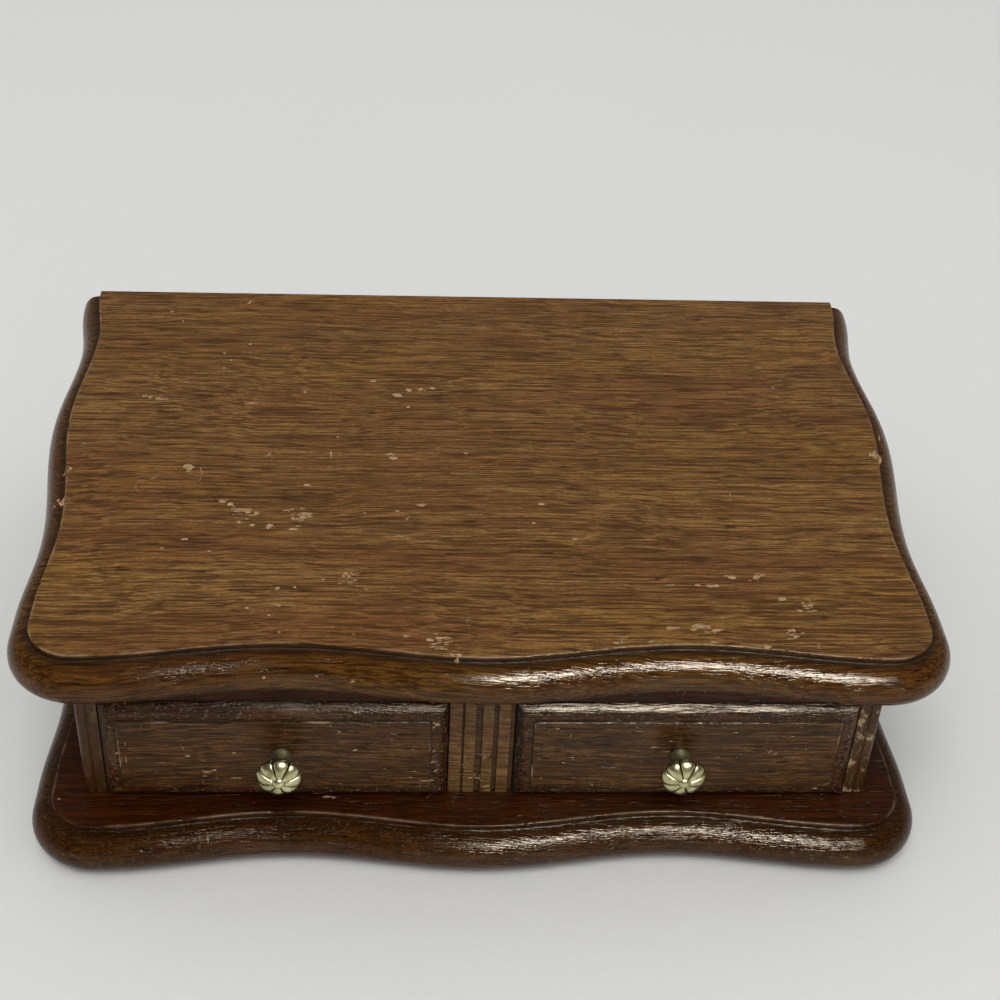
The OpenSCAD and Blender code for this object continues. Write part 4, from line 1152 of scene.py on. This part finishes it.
def slotted_screw(head_r, head_h, shank_r, length, sides=32):
    """A screw that points down from its flat head, which has a worn slot and a softly broken rim."""
    rows = [(shank_r * 0.2, -length), (shank_r, -length + 0.6), (shank_r, -head_h), (head_r - 0.03, -0.12),
            (head_r, -0.06), (head_r - 0.06, 0.0)]
    rings = [[(r * math.cos(2 * math.pi * i / sides), r * math.sin(2 * math.pi * i / sides), z)
              for i in range(sides)] for r, z in rows]
    slot_half = 0.13 * head_r
    tool = boxes("slot", [((-head_r - 1, -slot_half, -0.35 * head_h), (head_r + 1, slot_half, 1.0))])
    return cut(stacked("screw", rings), tool)


def screw_tree():
    """Sets a screw on each point, tilted to its face and turned about its own length by chance."""
    tree, given = geometry_tree("screw_set", [
        ("Screw", "Object"), ("Tilt", "Vector"), ("Seed", "Int"), ("Finish", "Material")])
    screw = node(tree, "GeometryNodeObjectInfo", {"Object": given["Screw"]}, "Geometry")
    spots = node(tree, "GeometryNodeMeshToPoints", {"Mesh": given["Geometry"]})
    set_out = node(tree, "GeometryNodeInstanceOnPoints", {
        "Points": spots, "Instance": screw, "Rotation": given["Tilt"]})
    turn = node(tree, "FunctionNodeRandomValue", {2: 0.0, 3: 3.14, "Seed": given["Seed"]}, 1,
                data_type="FLOAT")
    turned_by = node(tree, "GeometryNodeRotateInstances", {
        "Instances": set_out, "Rotation": node(tree, "ShaderNodeCombineXYZ", {2: turn}), "Local Space": True})
    close_tree(tree, turned_by, given["Finish"])
    return tree


def screw_set(tree, name, body, spots, tilt, sizes, material, stands_for, seed):
    screw = placed("screw", slotted_screw(*sizes))
    points = bpy.data.meshes.new("spots")
    points.from_pydata([tuple(v * MM for v in p) for p in spots], [], [])
    mesh = grown(points, tree, {"Screw": screw, "Tilt": tilt, "Seed": seed, "Finish": material})
    bpy.data.objects.remove(screw)
    put(name, mesh, body, material, [stands_for], 40)


def all_screws():
    """The screws of the hinges, of the base and of the knobs. Sizes: head's radius and height, shank's
    radius, length."""
    tree = screw_tree()
    upright, downward, forward = (0.0, 0.0, 0.0), (math.pi, 0.0, 0.0), (-math.pi / 2, 0.0, 0.0)
    hinge_x, hole_x, hole_in = 72.0, 10.0, 3.8
    spots = [(s * hinge_x + k * hole_x, BACK_Y - hole_in, LID_LOW) for s in (-1, 1) for k in (-1, 1)]
    for body, tilt, seed in (("case", upright, 3), ("lid", downward, 4)):
        name = "hinge_" + body + "_screws"
        screw_set(tree, name + "_slotted", body, spots, tilt, (1.5, 0.75, 0.75, 7.0), HINGE_BRASS,
                  name, seed)
    head_r = 2.6
    low, high = box_mm("base_screws")
    spots = [(x, y, FELT_T) for x in (low.x + head_r, high.x - head_r)
             for y in (low.y + head_r, high.y - head_r)]
    screw_set(tree, "base_screws_slotted", "case", spots, downward, (head_r, 1.3, 1.3, 26.0),
              SCREW_STEEL, "base_screws", 5)
    for drawer in ("drawer_left", "drawer_right"):
        name = drawer + "_knob_screw"
        low, high = box_mm(name)
        middle = ((low.x + high.x) / 2, high.y, (low.z + high.z) / 2)
        screw_set(tree, name + "_slotted", drawer, [middle], forward, (2.5, 1.5, 1.25, high.y - low.y),
                  SCREW_STEEL, name, 6)


all_screws()


# Knocks and scratches. A chip is where, how long, how wide and how turned, in millimetres and degrees.
# Marks on the lid and base are seen from above (x, y), those on the fronts from the front (x, z).
LID_CHIPS = [
    (-107.5, 31.6, 2, 1.4, -16), (-105.5, 31.1, 1.6, 1.7, 1), (-102.4, 30, 3, 1.7, -8),
    (-100.5, 30, 1.3, 1.2, 1), (-84.2, 58.1, 1, 1.3, 1), (-75.9, 64, 1, 1.3, 2),
    (-81.5, 53.8, 1.3, 1.2, 1), (-83.4, 48.8, 1, 1.2, 1), (-100.1, 78.2, 0.9, 1.3, 2),
    (-104.6, 84.7, 0.9, 1.3, 2), (-78, 91.6, 2.5, 0.9, 62), (-33.7, 42.1, 2, 1.5, 1),
    (-25.7, 34, 3.3, 2.1, -8), (-21.7, 37, 2, 1.8, 1), (-17.8, 37.7, 2.4, 1.8, 19),
    (-14.1, 38.4, 1.7, 1.8, 1), (-22, 27.1, 1.3, 1.2, 1), (-72.3, 28.3, 3.9, 0.8, 1),
    (-55.8, 35.1, 1, 1.2, 1), (-44.2, 9.8, 0.9, 1.1, 1), (-46, 0.5, 3.7, 0.5, -88),
    (-65.3, 0.2, 3.3, 0.5, 58), (-27.6, 0.9, 2.2, 1.6, 1), (-26.7, -1.3, 2.5, 1.6, 1),
    (-3.7, 1.8, 1.3, 1.1, 1), (-89.3, -7.1, 3.1, 3.7, 1), (-99.6, -12.9, 1.4, 0.7, 48),
    (-126.2, -8.7, 2.6, 2.9, -75), (-125.4, -23.1, 3.1, 3, -75), (-123.1, 5, 0.9, 1.1, 1),
    (-52.7, -15.7, 1.8, 1.5, 1), (-77.5, -24.1, 2.3, 1.9, -22), (-75, -25.6, 1.9, 1.9, -15),
    (-71.5, -28.5, 3.9, 2.4, 1), (-67.2, -29.9, 1.8, 1.9, 1), (-71.9, -34.3, 1.5, 1.4, 1),
    (-68, -35.7, 1.5, 1.4, 1), (-62.9, -36.1, 2.1, 2.4, 1), (-55.8, -37.4, 2.1, 1.4, 1),
    (-52.6, -30.6, 3.3, 3.9, 1), (-56.1, -32.2, 1.2, 1.9, 1), (-56.6, -27.8, 0.9, 1.5, 1),
    (-18, -25.2, 2.7, 1.7, 1), (-25.2, -28.3, 1.2, 1, 1), (-21.9, -31.7, 2.4, 0.5, 59),
    (-34.8, -29.4, 0.9, 1, 1), (-24.2, -40.3, 4.1, 0.5, 6), (-86.9, -42.5, 2.3, 1.2, 1),
    (-93.1, -46.8, 0.9, 0.9, 1), (-79.4, -48, 1.1, 0.9, 1), (-39.6, -57.5, 1.1, 2.2, 1),
    (-33.7, -64.6, 1.1, 0.9, 1), (-46, -60.3, 0.9, 0.9, 1), (-58.8, -64.4, 1.4, 1.5, 1),
    (-53.8, -63.9, 0.8, 1.3, 1), (-66.6, -73, 1.1, 0.9, 0), (-58.1, -71.7, 1.4, 1.3, 0),
    (-60.3, -75.9, 0.8, 0.8, 0), (-57.1, -83, 0.8, 0.8, 0), (-36.6, -83.7, 0.8, 0.8, 0),
    (18.7, -24.2, 2.1, 1.2, 1), (15.8, -33.6, 1.2, 1, 1), (27.6, -41.1, 1.2, 1, 1),
    (77.2, -18.8, 2.1, 0.5, -98), (100.5, 41, 0.7, 1.2, 1), (72, -58.2, 2.6, 1.8, 1),
    (79.3, -58.1, 2.7, 2.1, 28), (66.2, -62.3, 4.1, 1.4, 1), (53.7, -62, 2.3, 0.9, 1),
    (61.6, -61.9, 1.5, 0.9, 1), (85.3, -67.8, 2, 1.8, 1), (51.8, -80.5, 3.7, 1.3, 0),
    (59.3, -79.6, 4.2, 1.5, 0), (64.1, -81.3, 2.3, 1.7, 0), (131.7, 15.8, 3.1, 0.5, -103),
    (128.2, 3.3, 5.9, 3.3, -106), (-22.3, -84.4, 1.6, 1.2, 0), (-15.7, -86, 2.2, 1.2, -14),
    (-12.8, -89.2, 2.5, 1.2, -21), (-8.7, -92, 3, 1.4, -1), (35.5, -86.9, 1.7, 0.8, 0),
    (45.6, -86, 1.7, 0.8, 0), (62.8, -86.3, 2.5, 1.2, 0), (77.6, -88.2, 2.2, 1.2, 0),
    (92, -87.7, 2.5, 0.5, -101), (85.9, -81.1, 1.7, 1.7, 0), (-60.8, -93.6, 0.9, 0.2, 3),
    (-90.1, -97.4, 0.9, 0.2, 8), (-46.5, -93.7, 0.9, 0.2, -8), (-36.6, -95, 1.2, 0.2, -4),
    (74.9, -95.1, 1.2, 0.25, -8),
]
LID_RUBS = [
    (92.1, -70.4, 4.3, 5), (85.4, -82.4, 4, 3.8), (59.7, -80.5, 6, 3), (-13, -86.8, 6, 5),
    (79.3, -58.1, 3.5, 3.7), (-71.4, -29.5, 6, 5), (-54.7, -31.2, 5.9, 5), (-38.4, -60.2, 4.6, 5),
]
LID_SCRATCHES = [
    [(-125.5, 38.2), (-119.9, 35.4), (-114.4, 33.2)],
    [(-11.4, -49.5), (-7.3, -49.7), (-2.4, -50.3)],
    [(-104.4, -16.1), (-103.7, -14.5), (-101.9, -14), (-100.9, -15)],
    [(-104.4, -16.1), (-104.1, -18.6), (-102.6, -20.5)],
    [(-39.6, -55.3), (-37.9, -56.6), (-38.7, -59.3), (-36.6, -60.6), (-37.7, -63.3)],
    [(-37, -35.7), (-35.8, -37.2), (-36.3, -39.1)],
    [(-66.7, 2.3), (-63.9, -1.9)],
    [(-86, -6.5), (-85, -10.6), (-85.5, -14.7)],
]
LEFT_CHIPS = [
    (-79.5, 27.6, 2.3, 0.8, 0), (-77.4, 28.4, 1.5, 0.7, 14), (-80.2, 25.9, 1.4, 0.6, 0),
    (-71, 25.1, 2.6, 0.5, 0), (-36.6, 36.6, 1.5, 0.5, 21), (-41.1, 43.9, 0.9, 0.5, 0),
    (-84.5, 34.1, 1.7, 0.8, 0), (-13.2, 46.3, 2, 1.1, -33), (-14, 45.2, 1.2, 0.8, 36),
    (-102, 39, 1.2, 0.4, -88), (-102.3, 32.5, 2, 0.3, -92), (-85.7, 37.4, 0.7, 0.4, -63),
    (-71.3, 35.4, 0.9, 0.6, 0), (-104.8, 34.6, 1.5, 0.6, 31), (-16.2, 23.8, 2.6, 0.6, -1),
    (-14.2, 23.4, 1.4, 0.8, -2), (-13.8, 35.5, 1.2, 0.6, 36), (-14, 31, 1.5, 0.8, 24),
    (-13.1, 27.5, 1.9, 0.6, 46),
]
LEFT_SCRATCHES = [
    [(-82.3, 33.3), (-80.4, 32.3), (-78.7, 31.3)],
    [(-101.3, 37.4), (-98.6, 35.8)],
    [(-93.6, 31.3), (-90.4, 31.5)],
    [(-23.6, 23.4), (-20.1, 23.2), (-14.8, 22.6)],
    [(-14.4, 33), (-12.1, 34.3)],
    [(-94.3, 47.1), (-88.7, 47), (-83.1, 46.8), (-76.9, 46.9)],
    [(-86.5, 39), (-85.5, 37)],
]
RIGHT_CHIPS = [
    (84.4, 36, 2, 0.5, 55), (86, 35.1, 1.5, 0.5, 42), (100.4, 19.9, 1.2, 0.8, 0),
    (25.5, 42.4, 1.3, 0.4, 52), (33.1, 22.1, 0.9, 0.5, 0),
]
RIGHT_SCRATCHES = [
    [(88.6, 33.9), (91.6, 33.7), (94.3, 33.1), (95.7, 31.8)],
    [(102.1, 21.6), (103.7, 22.7), (105, 24.7)],
    [(107.3, 31.9), (108, 34.9)],
    [(82.8, 36.8), (85.1, 35.5)],
    [(16.2, 33.8), (17.7, 32.6)],
]
CASE_CHIPS = [
    (109.8, 29.5, 3, 0.5, -63), (111.7, 39.6, 2.1, 0.6, -60), (111.5, 47.7, 2, 0.8, -52),
    (110.3, 37.5, 1.7, 0.5, -60), (0.4, 30.9, 1.9, 0.8, 45), (1, 30.3, 1.4, 0.6, 38),
    (-2.9, 21.9, 1.8, 0.8, 8), (-0.5, 20.8, 2.4, 0.8, 1), (2, 18.4, 1.8, 0.9, 12),
    (-5.1, 26.3, 0.9, 0.8, 0), (2.6, 16.7, 2.1, 0.6, -3),
]
CASE_SCRATCHES = [
    [(110.2, 36.2), (111.5, 39.2), (111.3, 42), (110.6, 44.5), (111.2, 47.7), (111.8, 49.3)],
    [(111.5, 39.2), (110.1, 42)],
    [(112.4, 35.8), (111.7, 32.9), (111, 31.2)],
    [(111.3, 18.9), (111.6, 22.3), (112, 25.3)],
    [(110.4, 18.4), (116.8, 16)],
    [(-8.2, 21), (-5.9, 22.2), (-3.8, 22.8)],
    [(-4.1, 21.4), (-1.7, 22.2), (0.7, 22.1)],
]
BASE_CHIPS = [(-45, -85.2, 2.6, 1.0, 0), (-43.2, -85.6, 1.4, 0.7, 10), (-123.2, -86.1, 0.9, 0.8, 0)]
LID_CRACK = [(-134.2, -11.5), (-132.0, -12.0), (-129.6, -12.3)]


def skin_of(*names):
    """The surfaces of finished pieces, for marks to lie on."""
    points, faces = [], []
    for name in names:
        mesh = bpy.data.objects[name].data
        start = len(points)
        points += [v.co.copy() for v in mesh.vertices]
        faces += [[start + i for i in p.vertices] for p in mesh.polygons]
    return BVHTree.FromPolygons(points, faces)


def laid(skin, u, v, above):
    """Where the skin is hit, seen from above or from the front, and which way it faces there."""
    if above:
        start, way = Vector((u, v, 120)), Vector((0, 0, -1))
    else:
        start, way = Vector((u, -150, v)), Vector((0, 1, 0))
    spot, normal, _, _ = skin.ray_cast(start * MM, way)
    if spot is None:
        return None
    return spot, -normal if normal.dot(way) > 0 else normal


class Marks:
    """Thin closed flakes of bare wood, gathered into one mesh."""

    def __init__(self, skin, above, seed):
        self.skin, self.above = skin, above
        self.dice = random.Random(seed)
        self.points, self.faces, self.pale = [], [], []

    def add(self, rings, pale):
        self.faces += skin_faces(len(rings[0]), len(rings), len(self.points))
        for ring in rings:
            self.points += ring
            self.pale += [pale] * len(ring)

    def chip(self, u, v, length, width, turn, pale):
        """A flake with a ragged outline. Neighbours lie at different levels, so that they can overlap."""
        c, s = math.cos(math.radians(turn)), math.sin(math.radians(turn))
        corners, levels, level_step = 11, 11, 0.002
        outline = []
        for k in range(corners):
            a = 2 * math.pi * k / corners
            reach = self.dice.uniform(0.55, 1.15) / 2
            x, y = reach * length * math.cos(a), reach * width * math.sin(a)
            outline.append((x * c - y * s, x * s + y * c))
        rings = []
        level = level_step * (len(self.faces) % levels)
        for share, lift in ((1.0, -0.15), (1.0, level - 0.01), (0.8, level + 0.02)):
            ring = [laid(self.skin, u + x * share, v + y * share, self.above) for x, y in outline]
            if None in ring:
                return
            rings.append([spot + normal * lift * MM for spot, normal in ring])
        self.add(rings, pale)

    def rub(self, u, v, length, width):
        """A rubbed patch: many small faint chips."""
        for _ in range(int(length * width * 0.7) + 3):
            x, y = self.dice.gauss(0, length / 3.2), self.dice.gauss(0, width / 3.2)
            size = self.dice.uniform(0.45, 1.5)
            turn, pale = self.dice.uniform(-15, 15), self.dice.uniform(0.45, 0.85)
            self.chip(u + x, v + y, size * 1.5, size * 0.6, turn, pale)

    def scratch(self, line, width, pale):
        """A thin raised hair of bare wood along a line, widest in its middle."""
        rings, walk = [], []
        for (u0, v0), (u1, v1) in zip(line, line[1:]):
            size = math.hypot(u1 - u0, v1 - v0)
            steps = max(2, int(size / 0.5))
            across = ((v0 - v1) / size, (u1 - u0) / size)
            walk += [(u0 + (u1 - u0) * i / steps, v0 + (v1 - v0) * i / steps, *across) for i in range(steps)]
        for k, (u, v, nu, nv) in enumerate(walk):
            swell = 0.15 + math.sin(math.pi * (k + 0.5) / len(walk)) ** 0.5
            half = width / 2 * swell * self.dice.uniform(0.5, 1.2)
            drift = self.dice.uniform(-0.06, 0.06)
            ring = []
            for side, lift in ((-1, -0.05), (0, 0.02), (1, -0.05)):
                off = half * side + drift
                hit = laid(self.skin, u + nu * off, v + nv * off, self.above)
                if hit is None:
                    return
                ring.append(hit[0] + hit[1] * lift * MM)
            rings.append(ring)
        self.add(rings, pale)

    def chips(self, rows):
        for u, v, length, width, turn in rows:
            fresh = min(1.0, 0.70 + 0.12 * length * width) * self.dice.uniform(0.75, 1.0)
            self.chip(u, v, 1.25 * length, 0.95 * width, turn, fresh)
            for _ in range(int(length)):
                side = self.dice.uniform(0.4, 0.9) * length
                x, y = self.dice.uniform(-side, side), self.dice.uniform(-0.6, 0.6) * width
                self.chip(u + x, v + y, 0.5 * length, 0.35 * width, turn, 0.7 * fresh)

    def scratches(self, lines, width=0.38):
        for line in lines:
            self.scratch(line, width, self.dice.uniform(0.6, 0.95))

    def mesh(self, name):
        return outward(with_marks(mesh_of(name, self.points, self.faces), pale=self.pale))


lid_marks = Marks(skin_of("lid_board_walnut"), True, 11)
lid_marks.chips(LID_CHIPS)
lid_marks.scratches(LID_SCRATCHES, 0.5)
for row in LID_RUBS:
    lid_marks.rub(*row)
lid_marks.scratch(LID_CRACK, 0.35, 0.0)
put("lid_chips", lid_marks.mesh("chips"), "lid", BARE)
for side, chips, scratches, seed in (
        ("left", LEFT_CHIPS, LEFT_SCRATCHES, 12), ("right", RIGHT_CHIPS, RIGHT_SCRATCHES, 13)):
    marks = Marks(skin_of("drawer_" + side + "_front_walnut"), False, seed)
    marks.chips(chips)
    marks.scratches(scratches)
    put("drawer_" + side + "_scratches", marks.mesh("scratches"), "drawer_" + side, BARE)
case_marks = Marks(skin_of("centre_stile_reeded", "side_left_rubbed", "side_right_rubbed"), False, 14)
case_marks.chips(CASE_CHIPS)
case_marks.scratches(CASE_SCRATCHES)
put("case_front_scratches", case_marks.mesh("scratches"), "case", BARE)
base_marks = Marks(skin_of("base_board_walnut"), True, 15)
base_marks.chips(BASE_CHIPS)
put("base_chips", base_marks.mesh("chips"), "case", BARE)

bpy.context.scene.view_settings.view_transform = "Standard"
